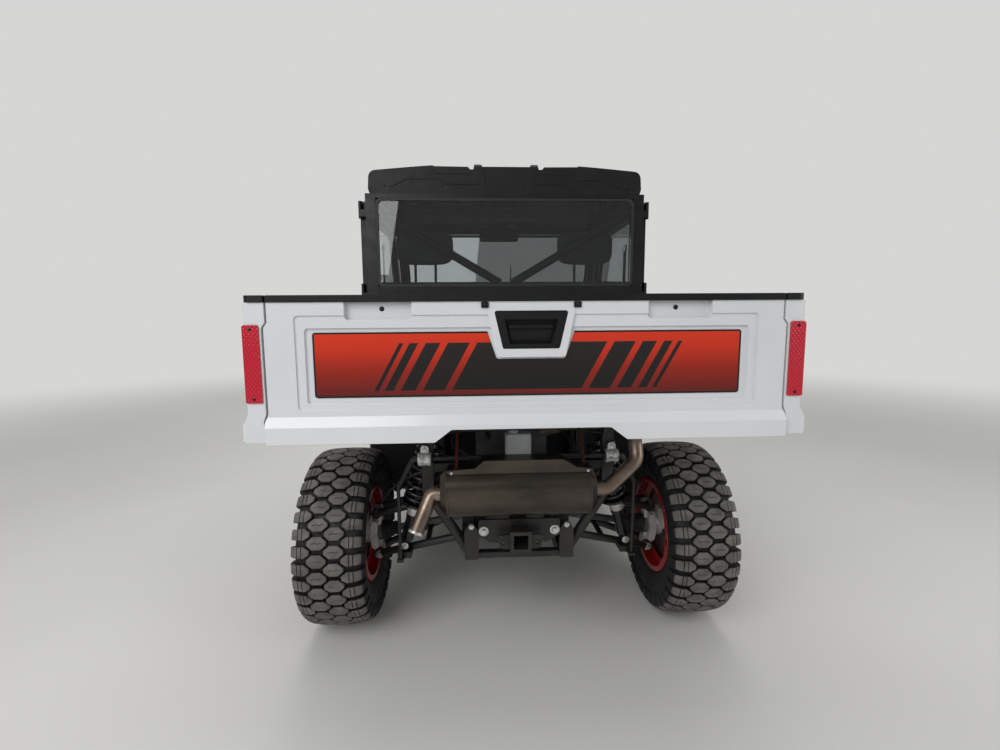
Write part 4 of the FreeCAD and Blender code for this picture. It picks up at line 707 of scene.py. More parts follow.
def carcass_line(s):
    """Across and radius of the carcass at an arc length from its crown, and the outward normal there."""
    line = smoothed(CARCASS)
    length = np.concatenate([[0], np.cumsum(np.linalg.norm(np.diff(line, axis=0), axis=1))])
    way = np.gradient(line, axis=0)
    way /= np.linalg.norm(way, axis=1)[:, None]
    x, r, along_x, along_r = (np.interp(np.abs(s), length, values) for values in (*line.T, *way.T))
    sign = np.where(s < 0, -1.0, 1.0)
    return x * sign, r, -along_r * sign, along_x


def lug_rows(s_lines, a_lines, half_width, height, phase, grooves_s=(), groove_a=None, bend=0.0):
    """One lug at each pitch: a grid over (s, a) whose outer lines run down to the carcass.

    s_lines run across the tread and a_lines from -1 to 1 along it. half_width and height are values for each
    s line. The s lines named in grooves_s lie deeper, and so does a_lines[groove_a], bent to and fro.
    """
    rows, columns = len(s_lines), len(a_lines)
    place = np.tile(np.asarray(a_lines, float), (rows, 1))
    level = np.ones((rows, columns))
    level[[1, -2]] = level[:, [1, -2]] = 0.87
    level[[0, -1]] = level[:, [0, -1]] = -0.15
    for line in grooves_s:
        level[line, 2:-2] = 0.5
    if groove_a:
        level[4:-4, groove_a] = 0.7
        zigzag = bend * np.where(np.arange(rows) % 2, 1.0, -1.0)
        place[3:-3, groove_a - 1:groove_a + 2] += zigzag[3:-3, None]
    x, r, normal_x, normal_r = carcass_line(s_lines)
    rise = level * height[:, None]
    across = x[:, None] + rise * normal_x[:, None]
    radius = r[:, None] + rise * normal_r[:, None]
    angle = place * half_width[:, None] / TYRE_R
    centres = (np.arange(PITCHES) + phase)[:, None, None] * 2 * math.pi / PITCHES
    turn = angle[None] + centres
    flat = np.broadcast_to(across, turn.shape)
    points = np.stack([flat, radius * np.sin(turn), radius * np.cos(turn)], -1)
    faces = np.array(quads(rows, columns))
    if s_lines[-1] < s_lines[0]:
        faces = faces[:, ::-1]
    starts = (np.arange(PITCHES) * rows * columns)[:, None, None]
    return points.reshape(-1, 3), (faces[None] + starts).reshape(-1, 4).tolist()


def tread(lug_height):
    """Two staggered rows of hexagon lugs, each with a bent sipe, between two rows of shoulder lugs."""
    half_marks = np.array([0.15, 0.44, 0.62, 0.91, 0.985, 1])
    marks = np.concatenate([-half_marks[::-1], half_marks])
    hexagon = 0.0228 * (1 - 0.76 * np.clip((np.abs(marks) - 0.44) / 0.56, 0, 1))
    tall = np.full(len(marks), lug_height)
    along = (-1, -0.985, -0.89, -0.45, -0.05, 0.0, 0.05, 0.45, 0.89, 0.985, 1)
    steps = np.array([0, 0.012, 0.035, 0.20, 0.27, 0.285, 0.30, 0.40, 0.415, 0.43, 0.52, 0.60, 0.70, 0.80,
                      0.90, 0.975, 0.99, 1])
    falling = np.interp(steps, [0, 0.52, 0.66, 0.80, 1], [lug_height, lug_height, 0.0172, 0.0112, 0.0060])
    shoulder = np.interp(steps, [0, 0.18, 0.66, 1], [0.0052, 0.0205, 0.0188, 0.0140])
    side = (-1, -0.985, -0.89, -0.30, 0.30, 0.89, 0.985, 1)
    shapes = []
    for sign, phase in ((-1, 0.5), (1, 0.0)):
        inner = 0.0288 * sign + 0.0335 * marks
        outer = sign * (0.0520 + 0.0940 * steps)
        shapes.append(lug_rows(inner, along, hexagon, tall, phase, groove_a=5, bend=0.10))
        shapes.append(lug_rows(outer, side, shoulder, falling, 0.5 - phase, grooves_s=(5, 8)))
    return joined(*shapes)


def carcass():
    """Carcass surface of revolution from bead to bead, with its open inner side closed by a liner."""
    line = smoothed(CARCASS)
    return revolved(np.concatenate([line[::-1], line[1:] * (-1, 1), LINER]), sides=140, closed=True)


class VEHICLE_OT_tyres(bpy.types.Operator):
    """Tyres with open knobbly tread"""
    bl_idname = "vehicle.tyres"
    bl_label = "Tyres"

    def execute(self, context):
        points, faces = joined(carcass(), tread(context.scene.vehicle_looks.lug_height))
        flipped = [face[::-1] for face in faces]
        for end, axle_y, sign, side in WHEELS:
            placed = points * (sign, 1, 1) + (sign * WHEEL_X, axle_y, AXLE_Z)
            shape = (placed, faces if sign > 0 else flipped)
            name = f"tyre_tread_{end}_{side}"
            piece(name, shape, f"wheel_{end}_{side}", "tyre", [f"tyre_{end}_{side}"], 28)
        return {"FINISHED"}


WHEEL_FACE = WHEEL_X + 0.040
NUT_RING = 0.050
CENTRE_CAP = ((0, 0.030), (0.010, 0.030), (0.014, 0.026), (0.016, 0.012), (0.016, 0.004))


class VEHICLE_OT_wheel_trim(bpy.types.Operator):
    """Wheel nuts and centre caps"""
    bl_idname = "vehicle.wheel_trim"
    bl_label = "Wheel trim"

    def execute(self, context):
        turn = math.pi / 4 + np.arange(4) * math.pi / 2
        for end, axle_y, sign, side in WHEELS:
            hub = np.array([sign * WHEEL_FACE, axle_y, AXLE_Z])
            axis = (sign, 0, 0)
            places = hub + NUT_RING * np.stack([0 * turn, np.cos(turn), np.sin(turn)], 1)
            nuts = [bolt(place, axis, 0.019) for place in places]
            cap = revolved(CENTRE_CAP, hub, axis, 40)
            piece(f"wheel_nuts_{end}_{side}", joined(*nuts), f"wheel_{end}_{side}", "steel")
            piece(f"centre_cap_{end}_{side}", cap, f"wheel_{end}_{side}", "black_plastic")
        return {"FINISHED"}


# Springs and dampers

COIL_R = 0.0475
COIL_START = 0.190
# Profiles of the damper as (along from its lower pin, radius); the spring seat is told from its top end
LOWER_EYE = ((-0.019, 0.011), (-0.019, 0.017), (0.019, 0.017), (0.019, 0.011))
UPPER_EYE = ((-0.016, 0.009), (-0.016, 0.0155), (0.016, 0.0155), (0.016, 0.009))
CAN = ((0.015, 0.014), (0.022, 0.022), (0.030, 0.0245), (0.120, 0.0245), (0.124, 0.027), (0.136, 0.027))
PERCH = ((0.170, 0.0245), (0.175, 0.048), (0.180, 0.0545), (0.188, 0.0550), (0.190, 0.0530),
         (0.1905, 0.0200))
COLLAR = ((0.136, 0.0262), (0.138, 0.0270), (0.150, 0.0270), (0.153, 0.0290), (0.166, 0.0290),
          (0.170, 0.0262))
ROD = ((0.1895, 0.026), (0.330, 0.026), (0.336, 0.022), (0.338, 0.009))
SPRING_SEAT = ((-0.066, 0.016), (-0.064, 0.053), (-0.058, 0.055), (-0.054, 0.053), (-0.048, 0.026),
               (-0.034, 0.020), (-0.030, 0.012))


def coil(low, axis, first, last, turns, wire):
    """Helix about the damper, closed up over its first and last turn as ground springs are."""
    side = np.cross(axis, REARWARD)
    side /= np.linalg.norm(side)
    up = np.cross(axis, side)
    t = np.linspace(0, 1, int(turns * 28))
    turn = (t * turns * 2 * math.pi)[:, None]
    rise = t - 0.055 * np.sin(2 * math.pi * t)
    along = first + wire + (last - first - 2 * wire) * rise
    path = low + along[:, None] * axis + COIL_R * (np.cos(turn) * side + np.sin(turn) * up)
    return tube(path, wire, 12, up=tuple(axis))


class VEHICLE_OT_springs(bpy.types.Operator):
    """Coil springs on their dampers"""
    bl_idname = "vehicle.springs"
    bl_label = "Springs"

    def execute(self, context):
        looks = context.scene.vehicle_looks
        springs, dampers, collars = [], [], []
        for _, axle_y, sign, _ in WHEELS:
            way = math.copysign(1, axle_y)
            low = np.array([sign * 0.440, axle_y + way * 0.095, 0.328])
            top = np.array([sign * 0.312, axle_y + way * 0.135, 0.780])
            length = np.linalg.norm(top - low)
            axis = (top - low) / length
            rod = (*ROD, (length - 0.058, 0.009))
            seat = [(length + along, radius) for along, radius in SPRING_SEAT]
            springs.append(coil(low, axis, COIL_START, length - 0.062, looks.coil_turns, looks.wire_radius))
            dampers.append(revolved(LOWER_EYE, low, REARWARD, 24, True))
            dampers.append(revolved(UPPER_EYE, top - axis * 0.017, REARWARD, 24, True))
            for profile, sides in ((rod, 28), (seat, 36), (CAN, 40), (PERCH, 40)):
                dampers.append(revolved(profile, low, axis, sides))
            collars.append(revolved(COLLAR, low, axis, 40))
        piece("coil_springs", joined(*springs), "chassis", "spring_black", ["shocks"])
        piece("damper_rods", joined(*dampers), "chassis", "spring_black", ["shocks"])
        piece("damper_collars", joined(*collars), "chassis", "cast_metal", ["shocks"])
        return {"FINISHED"}


# Seats

# Sewn channels as (place from -1 to 1, half width); the headrest's is one row of points wide
CUSHION_SEAMS = ((-0.35, 0.05), (0.35, 0.05))
BACK_SEAMS = ((-0.45, 0.03), (0.0, 0.03), (0.45, 0.03))
HEADREST_SEAMS = ((0.0, 0.0001),)


def pad(low, high, power, seams, lean=0.0, depth=0.010):
    """Crowned closed pad: a superellipsoid in a box, with channels across it and a lean of Y with height.

    Seams lie at places along Z, or along Y where the pad is flat. The rings run across X.
    """
    low, high = np.asarray(low), np.asarray(high)
    centre, half = (low + high) / 2, (high - low) / 2
    u = np.linspace(-0.985, 0.985, 44)[:, None] * math.pi / 2
    v = np.linspace(0, 2 * math.pi, 96, endpoint=False)[None]
    waves = (np.sin(u), np.cos(u), np.cos(v), np.sin(v))
    x, ring, y, z = (np.sign(wave) * np.abs(wave) ** power for wave in waves)
    x, y, z = np.broadcast_arrays(x, ring * y, ring * z)
    thin, other = (1, z) if half[1] < half[2] else (2, y)
    sink = sum(np.exp(-((other - place) / width) ** 2) for place, width in seams)
    points = np.stack([x, y, z], -1) * half
    points[..., thin] *= (1 - 0.10 * x ** 2) * (1 - sink * depth / half[thin])
    points[..., 1] += lean * z
    return lofted(points + centre)


class VEHICLE_OT_seats(bpy.types.Operator):
    """Bench cushions, backs and headrests"""
    bl_idname = "vehicle.seats"
    bl_label = "Seats"

    def execute(self, context):
        for side, x0, x1 in (("driver", 0.200, 0.590), ("passenger", -0.590, 0.190)):
            shape = pad((x0 + 0.002, -0.108, 0.642), (x1 - 0.002, 0.292, 0.768), 0.34, CUSHION_SEAMS)
            cushion = piece(f"seat_cushion_{side}", shape, "chassis", "seat", ["seat_cushions"], 60)
            shape = pad((x0 + 0.008, 0.276, 0.772), (x1 - 0.008, 0.372, 1.376), 0.34, BACK_SEAMS, 0.020)
            back = piece(f"seat_back_{side}", shape, "chassis", "seat", ["seat_backs"], 60)
        for side, x in (("driver", 0.400), ("passenger", -0.400)):
            shape = pad((x - 0.140, 0.350, 1.484), (x + 0.140, 0.392, 1.650), 0.5, HEADREST_SEAMS)
            rest = piece(f"headrest_{side}", shape, "chassis", "seat", ["headrests"], 60)
            posts = [revolved([(0, 0.0065), (0.13, 0.0065)], (x + step, 0.366, 1.378), UPWARD, 16)
                     for step in (-0.050, 0.050)]
            piece(f"headrest_posts_{side}", joined(*posts), "chassis", "satin_black")
        return {"FINISHED"}


# Underbody

MUFFLER_AT = np.array([1.225, 0.625])
MUFFLER_D = 0.062
MUFFLER_RISE = 0.021
BAR_Y = 1.1225
BAR_Z = 0.714
HOOP = [(-0.024, 0.0095), (-0.024, 0.0222), (-0.022, 0.0245), (-0.018, 0.0250), (-0.010, 0.0250),
        (-0.0075, 0.0236), (0.0075, 0.0236), (0.010, 0.0250), (0.018, 0.0250), (0.022, 0.0245),
        (0.024, 0.0222), (0.024, 0.0095)]
BUSH = [(-0.028, 0.0092), (-0.028, 0.0165), (-0.025, 0.0180), (0.025, 0.0180), (0.028, 0.0165),
        (0.028, 0.0092)]
PIPE_LIP = [(-0.007, 0.0232), (-0.007, 0.0258), (-0.003, 0.0272), (0.000, 0.0272), (0.002, 0.0258),
            (0.001, 0.0232)]
# Bolts of the left side, each with a twin on the right: place, axis and size across the flats
TWIN_BOLTS = [
    ((0.338, BAR_Y + 0.010, 0.748), REARWARD, 0.013), ((0.130, 1.140, 0.442), REARWARD, 0.021),
    ((0.175, 1.140, 0.459), REARWARD, 0.011), ((0.556, REAR_AXLE_Y + 0.046, 0.262), REARWARD, 0.019),
    ((0.440, REAR_AXLE_Y + 0.115, 0.328), REARWARD, 0.017)]
for axle in (FRONT_AXLE_Y, REAR_AXLE_Y):
    for step in (FORWARD, REARWARD):
        TWIN_BOLTS.append(((0.190, axle + step[1] * 0.162, 0.378), step, 0.019))
        TWIN_BOLTS.append(((0.200, axle + step[1] * 0.088, 0.520), step, 0.016))
# Hoses as a radius and the points that they pass; the brake line has a twin on the right
BRAKE_LINE = np.array([(0.572, 0.948, 0.420), (0.530, 0.985, 0.500), (0.470, 1.015, 0.575),
                       (0.405, 1.070, 0.630), (0.351, 1.088, 0.655)])
HOSES = (
    (0.0045, BRAKE_LINE), (0.0045, BRAKE_LINE * (-1, 1, 1)),
    (0.0095, [(0.100, 0.729, 0.690), (0.130, 0.830, 0.760), (0.205, 0.960, 0.795), (0.240, 1.030, 0.745),
              (0.195, 1.060, 0.712), (0.150, 1.079, 0.676)]),
    (0.0095, [(-0.070, 0.729, 0.720), (-0.110, 0.840, 0.790), (-0.190, 0.980, 0.770),
              (-0.215, 1.045, 0.720), (-0.170, 1.079, 0.678)]),
    (0.0065, [(-0.310, 1.088, 0.790), (-0.150, 1.058, 0.806), (0.020, 1.052, 0.812), (0.170, 1.058, 0.804),
              (0.310, 1.088, 0.792)]))
HOSE_UP = (0.3, 0.2, 0.93)
BOTTLE_NECK = [(0, 0.018), (0.006, 0.018), (0.008, 0.016), (0.016, 0.016)]


def bellows(start, axis, length, first, last, folds):
    """Rubber boot between two radii, its wall folded in and out along the way."""
    t = np.linspace(0, 1, folds * 8 + 1)
    radius = first + (last - first) * t + 0.0005 + 0.0045 * (0.5 - 0.5 * np.cos(2 * math.pi * folds * t))
    wall = np.stack([t * length, radius], 1)
    return revolved(np.concatenate([[(0, first * 0.6)], wall, [(length, last * 0.6)]]), start, axis, 40)


def stadium(radius, rise, count=16):
    """Outline of two half circles held apart by twice the rise, as (y, z) pairs."""
    turn = np.linspace(0, math.pi, count)
    top = np.stack([radius * np.cos(turn), rise + radius * np.sin(turn)], 1)
    return np.concatenate([top, -top])


def seam_band(x0, x1):
    """Rolled lip round the drum where an end cap is seamed on."""
    rows = ((x0, -0.001), (x0, 0.001), (x0 + 0.001, 0.0022), (x1 - 0.001, 0.0022), (x1, 0.001),
            (x1, -0.001))
    rings = [laid(stadium(MUFFLER_D + proud, MUFFLER_RISE) + MUFFLER_AT, x, "x") for x, proud in rows]
    return np.concatenate(rings), quads(len(rings), len(rings[0]), True, True)


class VEHICLE_OT_underbody(bpy.types.Operator):
    """Clamps, bolts, boots, hoses and exhaust trim under the vehicle"""
    bl_idname = "vehicle.underbody"
    bl_label = "Underbody"

    def execute(self, context):
        clamps, bushes = [], []
        for x in (-0.338, 0.338):
            tab = rounded_outline([(x - 0.016, 0.722, 0.002), (x + 0.016, 0.722, 0.002),
                                   (x + 0.014, 0.764, 0.013), (x - 0.014, 0.764, 0.013)])
            foot = (x - 0.013, BAR_Y - 0.010, BAR_Z + 0.022), (x + 0.013, BAR_Y + 0.006, BAR_Z + 0.036)
            clamps.append(revolved(HOOP, (x, BAR_Y + 0.006, BAR_Z), ACROSS, 40, True))
            clamps.append(prism(tab, BAR_Y + 0.002, BAR_Y + 0.010, 0.0012))
            clamps.append(block(*foot))
            bushes.append(revolved(BUSH, (x, BAR_Y, BAR_Z), ACROSS, 32, True))
        piece("stabiliser_hoops", joined(*clamps), "chassis", "steel", ["stabiliser_clamps"])
        piece("stabiliser_bushes", joined(*bushes), "chassis", "rubber")
        bolts = []
        for (x, y, z), axis, size in TWIN_BOLTS:
            bolts += [bolt((x, y, z), axis, size), bolt((-x, y, z), axis, size)]
        bolts += [bolt((x, 1.259, 0.703), REARWARD, 0.009, False) for x in (-0.222, 0.236)]
        piece("underbody_bolts", joined(*bolts), "chassis", "steel")
        seams = joined(seam_band(-0.234, -0.226), seam_band(0.247, 0.255))
        piece("muffler_seams", seams, "chassis", "muffler")
        lip = revolved(PIPE_LIP, (0.358, 1.269, 0.502), (0.052, 0.044, -0.119), 40, True)
        piece("tailpipe_lip", lip, "chassis", "steel")
        boots = []
        for _, axle_y, sign, _ in WHEELS:
            outer_x = 0.560 if axle_y > 0 else 0.5497
            inner = np.array([sign * 0.100, axle_y, 0.418])
            outer = np.array([sign * outer_x, axle_y, AXLE_Z])
            way = (outer - inner) / np.linalg.norm(outer - inner)
            boots.append(bellows(inner + way * 0.022, way, 0.084, 0.0425, 0.0215, 5))
            boots.append(bellows(outer - way * 0.078, way, 0.062, 0.0215, 0.0385, 4))
        piece("drive_boots", joined(*boots), "chassis", "rubber")
        lines = [tube(curve(points, 14), radius, 12, HOSE_UP) for radius, points in HOSES]
        piece("brake_and_coolant_hoses", joined(*lines), "chassis", "rubber")
        bottle = block((-0.049, 1.036, 0.6905), (0.046, 1.104, 0.792), 0.014, 0.006, "z")
        neck = revolved(BOTTLE_NECK, (0.015, 1.070, 0.792), UPWARD, 28)
        piece("overflow_bottle", joined(bottle, neck), "chassis", "bottle")
        turn = np.arange(48) * math.pi / 24
        grips = 0.0195 + 0.0006 * np.cos(12 * turn)
        knurl = np.stack([0.015 + grips * np.cos(turn), 1.070 + grips * np.sin(turn)], 1)
        piece("bottle_cap", prism(knurl, 0.804, 0.818, 0.002, "z"), "chassis", "black_plastic")
        return {"FINISHED"}


# Cargo box and tailgate

ANCHOR = [(0, 0.0098), (0, 0.0130), (0.0015, 0.0130), (0.002, 0.0110), (0.002, 0.0098)]


class VEHICLE_OT_box_trim(bpy.types.Operator):
    """Screws, pull handle, lens screws and ribs of the cargo box and its tailgate"""
    bl_idname = "vehicle.box_trim"
    bl_label = "Cargo box trim"

    def execute(self, context):
        screws = [dome((x, 1.514, 1.238), REARWARD, 0.0068, 0.0035) for x in (0.395, -0.395)]
        tabs = []
        for x in (-0.123, 0.123):
            tabs.append(block((x - 0.010, 1.5295, 1.2385), (x + 0.010, 1.5345, 1.2548), 0.003, 0.0007))
            screws.append(dome((x, 1.5345, 1.2466), REARWARD, 0.0056, 0.0026))
        piece("tailgate_screws", joined(*screws), "tailgate", "satin_black")
        piece("tailgate_tabs", joined(*tabs), "tailgate", "black_plastic")
        outline = rounded_outline([(-0.053, 1.146, 0.004), (0.053, 1.146, 0.004), (0.064, 1.196, 0.004),
                                   (-0.064, 1.196, 0.004)])
        flap = prism(outline, 1.5120, 1.5155, 0.0012)
        lip = block((-0.061, 1.5120, 1.183), (0.061, 1.5235, 1.195), 0.004, 0.002)
        rib = block((-0.050, 1.5120, 1.152), (0.050, 1.5185, 1.157), 0.002, 0.001)
        piece("pull_flap", joined(flap, lip, rib), "tailgate", "black_plastic")
        dots = [dome((x, 1.534, z), REARWARD, 0.0045, 0.002) for x in (-0.7305, 0.7305)
                for z in (1.004, 1.187)]
        piece("lens_screws", joined(*dots), "cargo_box", "satin_black")
        ribs = [block((x - 0.022, 0.580, 0.9555), (x + 0.022, 1.425, 0.9610), 0.010, 0.002, "z")
                for x in np.linspace(-0.600, 0.600, 11)]
        piece("bed_ribs", joined(*ribs), "cargo_box", "body_white")
        swages = [framed(rounded_box(y0, 1.000, y1, 1.225, 0.030), 0.010, 0.7440, 0.7475, 0.0012, "x")
                  for y0, y1 in ((0.560, 0.960), (1.000, 1.410))]
        piece("box_side_swages", sided(joined(*swages)), "cargo_box", "body_white")
        ties = [revolved(ANCHOR, (0.722, y, 1.274), UPWARD, 32, True) for y in (0.700, 1.300)]
        piece("anchor_bushes", sided(joined(*ties)), "cargo_box", "satin_black")
        return {"FINISHED"}


# Cab

SCREEN_UP = np.array([0.0, 0.410, 0.912])
SCREEN_OUT = np.array([0.0, -0.912, 0.410])
SCREEN_LOW = np.array([0.0, -0.700, 1.137])
DASH_TILT = (0, 0.80, 0.60)
GAUGE_TILT = (0, 0.90, 0.43)
DISPLAY_AT = (0.0, -0.548, 1.105)
# Pressed lines of the roof's rear face as (x, z), which have twins on the right
ROOF_Y = 0.4755
ROOF_LINES = (((-0.130, 1.846), (-0.290, 1.846), (-0.312, 1.868), (-0.460, 1.868), (-0.550, 1.828)),
              ((-0.165, 1.893), (-0.330, 1.893), (-0.345, 1.912)))
# The belt's two runs as (y, z), each with its width
BELT_X = 0.6025
BELT_RUNS = ((((0.386, 1.556), (0.372, 1.300), (0.330, 1.000), (0.270, 0.700)), 0.046),
             (((0.396, 1.556), (0.399, 1.250), (0.3985, 0.900), (0.398, 0.640)), 0.012))
CATCH_KNOB = [(0, 0.007), (0.004, 0.007), (0.006, 0.005)]
COURTESY_LAMP = [(0, 0.024), (0.006, 0.026), (0.011, 0.023), (0.014, 0.010)]
GAUGE_POD = [(-0.045, 0.030), (-0.040, 0.050), (0.004, 0.062), (0.010, 0.062), (0.012, 0.058),
             (0.004, 0.054)]
GAUGE_DIAL = [(0, 0.052), (0.003, 0.051), (0.004, 0.030)]
LEVER = [(0.130, -0.545, 1.040), (0.130, -0.500, 1.085), (0.130, -0.470, 1.130)]


class VEHICLE_OT_cab_trim(bpy.types.Operator):
    """Roof screws, mirror, belts, gauges, pedals, wiper and window latches"""
    bl_idname = "vehicle.cab_trim"
    bl_label = "Cab trim"

    def execute(self, context):
        screws = [dome((x, 0.476, 1.838), REARWARD, 0.006, 0.003) for x in (-0.570, -0.300, 0.300, 0.570)]
        piece("roof_screws", joined(*screws), "chassis", "satin_black")
        lines = [tube([(x, ROOF_Y, z) for x, z in line], 0.0028, 8, REARWARD) for line in ROOF_LINES]
        piece("roof_swage_lines", sided(joined(*lines)), "chassis", "black_plastic")
        catches = []
        for x in (-0.430, 0.430):
            catches.append(block((x - 0.016, 0.452, 1.740), (x + 0.016, 0.4665, 1.772), 0.004, 0.002))
            catches.append(revolved(CATCH_KNOB, (x, 0.452, 1.752), FORWARD, 20))
        piece("window_catches", joined(*catches), "chassis", "black_plastic")
        shell = block((-0.125, -0.345, 1.712), (0.125, -0.322, 1.775), 0.020, 0.006)
        stem = tube([(0, -0.337, 1.760), (0, -0.352, 1.778), (0, -0.392, 1.778)], (0.006, 0.007, 0.008), 14,
                    ACROSS)
        piece("interior_mirror_shell", joined(shell, stem), "chassis", "black_plastic")
        glass = block((-0.117, -0.324, 1.719), (0.117, -0.3205, 1.768), 0.016, 0.001)
        piece("interior_mirror_glass", glass, "chassis", "mirror")
        lamps = [revolved(COURTESY_LAMP, (x, -0.250, 1.800), (0, 0, -1), 28) for x in (-0.085, 0.085)]
        piece("courtesy_lamps", joined(*lamps), "chassis", "lamp_clear")
        belts, metal = [], []
        for sign in (-1, 1):
            for run, width in BELT_RUNS:
                belts.append(strap([(sign * BELT_X, y, z) for y, z in run], width))
            low, high = sorted((sign * 0.5985, sign * 0.6065))
            metal.append(block((low, 0.352, 1.548), (high, 0.406, 1.580), 0.006, 0.0015, "x"))
            metal.append(block((low, 0.240, 0.640), (high, 0.300, 0.705), 0.006, 0.0015, "x"))
        piece("seat_belts", joined(*belts), "chassis", "webbing")
        piece("belt_fittings", joined(*metal), "chassis", "steel")
        pod = revolved(GAUGE_POD, (0.345, -0.575, 1.150), GAUGE_TILT, 48)
        display = plate(0.088, 0.055, -0.012, 0.010, 0.010, 0.003, DASH_TILT, DISPLAY_AT)
        switches = [plate(0.012, 0.018, -0.004, 0.004, 0.003, 0.0015, DASH_TILT, (x, -0.540, 1.086))
                    for x in (0.125, 0.155, 0.185, 0.215)]
        piece("gauge_pod", joined(pod, display, *switches), "chassis", "black_plastic")
        dial = revolved(GAUGE_DIAL, (0.345, -0.5695, 1.1525), GAUGE_TILT, 48)
        cover = plate(0.080, 0.047, 0.008, 0.012, 0.006, 0.001, DASH_TILT, DISPLAY_AT)
        piece("gauge_faces", joined(dial, cover), "chassis", "display")
        pedals = []
        for x in (0.270, 0.380):
            arm = curve([(x, -0.893, 0.800), (x, -0.845, 0.690), (x, -0.838, 0.570)], 8)
            pedals.append(tube(arm, 0.008, 12, ACROSS))
            pedals.append(plate(0.030, 0.045, -0.004, 0.004, 0.010, 0.002, GAUGE_TILT, (x, -0.832, 0.565)))
        lever = tube(curve(LEVER, 8), 0.007, 12, ACROSS)
        piece("pedals_and_lever", joined(*pedals, lever), "chassis", "satin_black")
        turn = np.linspace(0.12, math.pi - 0.12, 14)
        ball = 0.019 * np.stack([-np.cos(turn), np.sin(turn)], 1)
        piece("shift_knob", revolved(ball, (0.130, -0.462, 1.142), (0, 0.5, 0.86), 28), "chassis", "rubber")
        foot = SCREEN_LOW + SCREEN_UP * 0.030 + SCREEN_OUT * 0.020 + (0.060, 0, 0)
        tip = foot + SCREEN_UP * 0.235 + (-0.150, 0, 0)
        middle = foot + (tip - foot) * 0.5 + SCREEN_OUT * 0.008
        arm = tube([foot, middle, tip], (0.008, 0.006, 0.004), 12, ACROSS)
        blade = tube([tip - SCREEN_UP * 0.200, tip, tip + SCREEN_UP * 0.220], (0.003, 0.006, 0.003), 10,
                     ACROSS)
        hub = revolved([(-0.012, 0.014), (0.010, 0.014), (0.013, 0.010)], foot, SCREEN_OUT, 24)
        piece("windscreen_wiper", joined(arm, blade, hub), "chassis", "satin_black")
        return {"FINISHED"}


# Doors and front

# Pressed lines of a door's skin as (y, z)
DOOR_SKIN_X = 0.7080
DOOR_LINES = (((-0.660, 0.800), (-0.100, 0.812), (0.360, 0.836)),
              ((-0.660, 0.560), (-0.100, 0.560), (0.360, 0.560)))
PULL = [(0.660, -0.430, 0.955), (0.628, -0.400, 0.955), (0.626, -0.290, 0.955), (0.660, -0.260, 0.955)]
LAMP_AHEAD = (0, -0.976, 0.214)
LAMP_BOWL = [(0.000, 0.006), (0.010, 0.017), (0.020, 0.025), (0.020, 0.027), (0.008, 0.019),
             (-0.003, 0.006)]
FENDER_LIP_X = 0.731
FENDER_LIP_R = 0.424


class VEHICLE_OT_door_trim(bpy.types.Operator):
    """Linings, handles, window frames and creases of the doors"""
    bl_idname = "vehicle.door_trim"
    bl_label = "Door trim"

    def execute(self, context):
        outline = rounded_outline([(-0.632, 1.158, 0.060), (0.374, 1.158, 0.060), (0.374, 1.766, 0.070),
                                   (-0.370, 1.766, 0.070)], 8)
        window = framed(outline, 0.034, 0.7000, 0.7110, 0.003, "x")
        bezel = framed(rounded_box(-0.650, 0.925, -0.490, 0.997, 0.016), 0.010, 0.7075, 0.7125, 0.002, "x")
        paddle = block((0.7095, -0.623, 0.941), (0.7205, -0.507, 0.977), 0.010, 0.004, "x")
        keyhole = revolved([(0, 0.008), (0.003, 0.0085), (0.005, 0.006)], (0.708, -0.637, 0.961), ACROSS, 24)
        creases = [tube([(DOOR_SKIN_X, y, z) for y, z in line], 0.0035, 10, ACROSS) for line in DOOR_LINES]
        outline = rounded_outline([(-0.620, 0.560, 0.050), (0.330, 0.560, 0.050), (0.330, 1.090, 0.040),
                                   (-0.620, 1.090, 0.040)], 8)
        lining = prism(outline, 0.6590, 0.6675, 0.003, "x")
        outline = rounded_outline([(-0.560, 0.590, 0.030), (0.020, 0.590, 0.030), (-0.020, 0.740, 0.030),
                                   (-0.560, 0.740, 0.030)], 8)
        pocket = prism(outline, 0.6480, 0.6610, 0.004, "x")
        rest = block((0.606, -0.260, 0.872), (0.660, 0.190, 0.912), 0.014, 0.008, "z")
        pull = tube(curve(PULL, 8), 0.009, 12)
        lever = block((0.648, -0.580, 1.018), (0.661, -0.495, 1.044), 0.008, 0.003, "x")
        parts = (("door_lining", joined(lining, pocket, rest, pull, lever), "black_plastic"),
                 ("window_frame", window, "black_plastic"),
                 ("door_handle", joined(bezel, paddle), "black_plastic"),
                 ("key_barrel", keyhole, "steel"),
                 ("door_creases", joined(*creases), "body_white"))
        for sign, side in SIDES:
            for name, shape, slot in parts:
                piece(f"{name}_{side}", facing(shape, sign), f"door_{side}", slot)
        return {"FINISHED"}


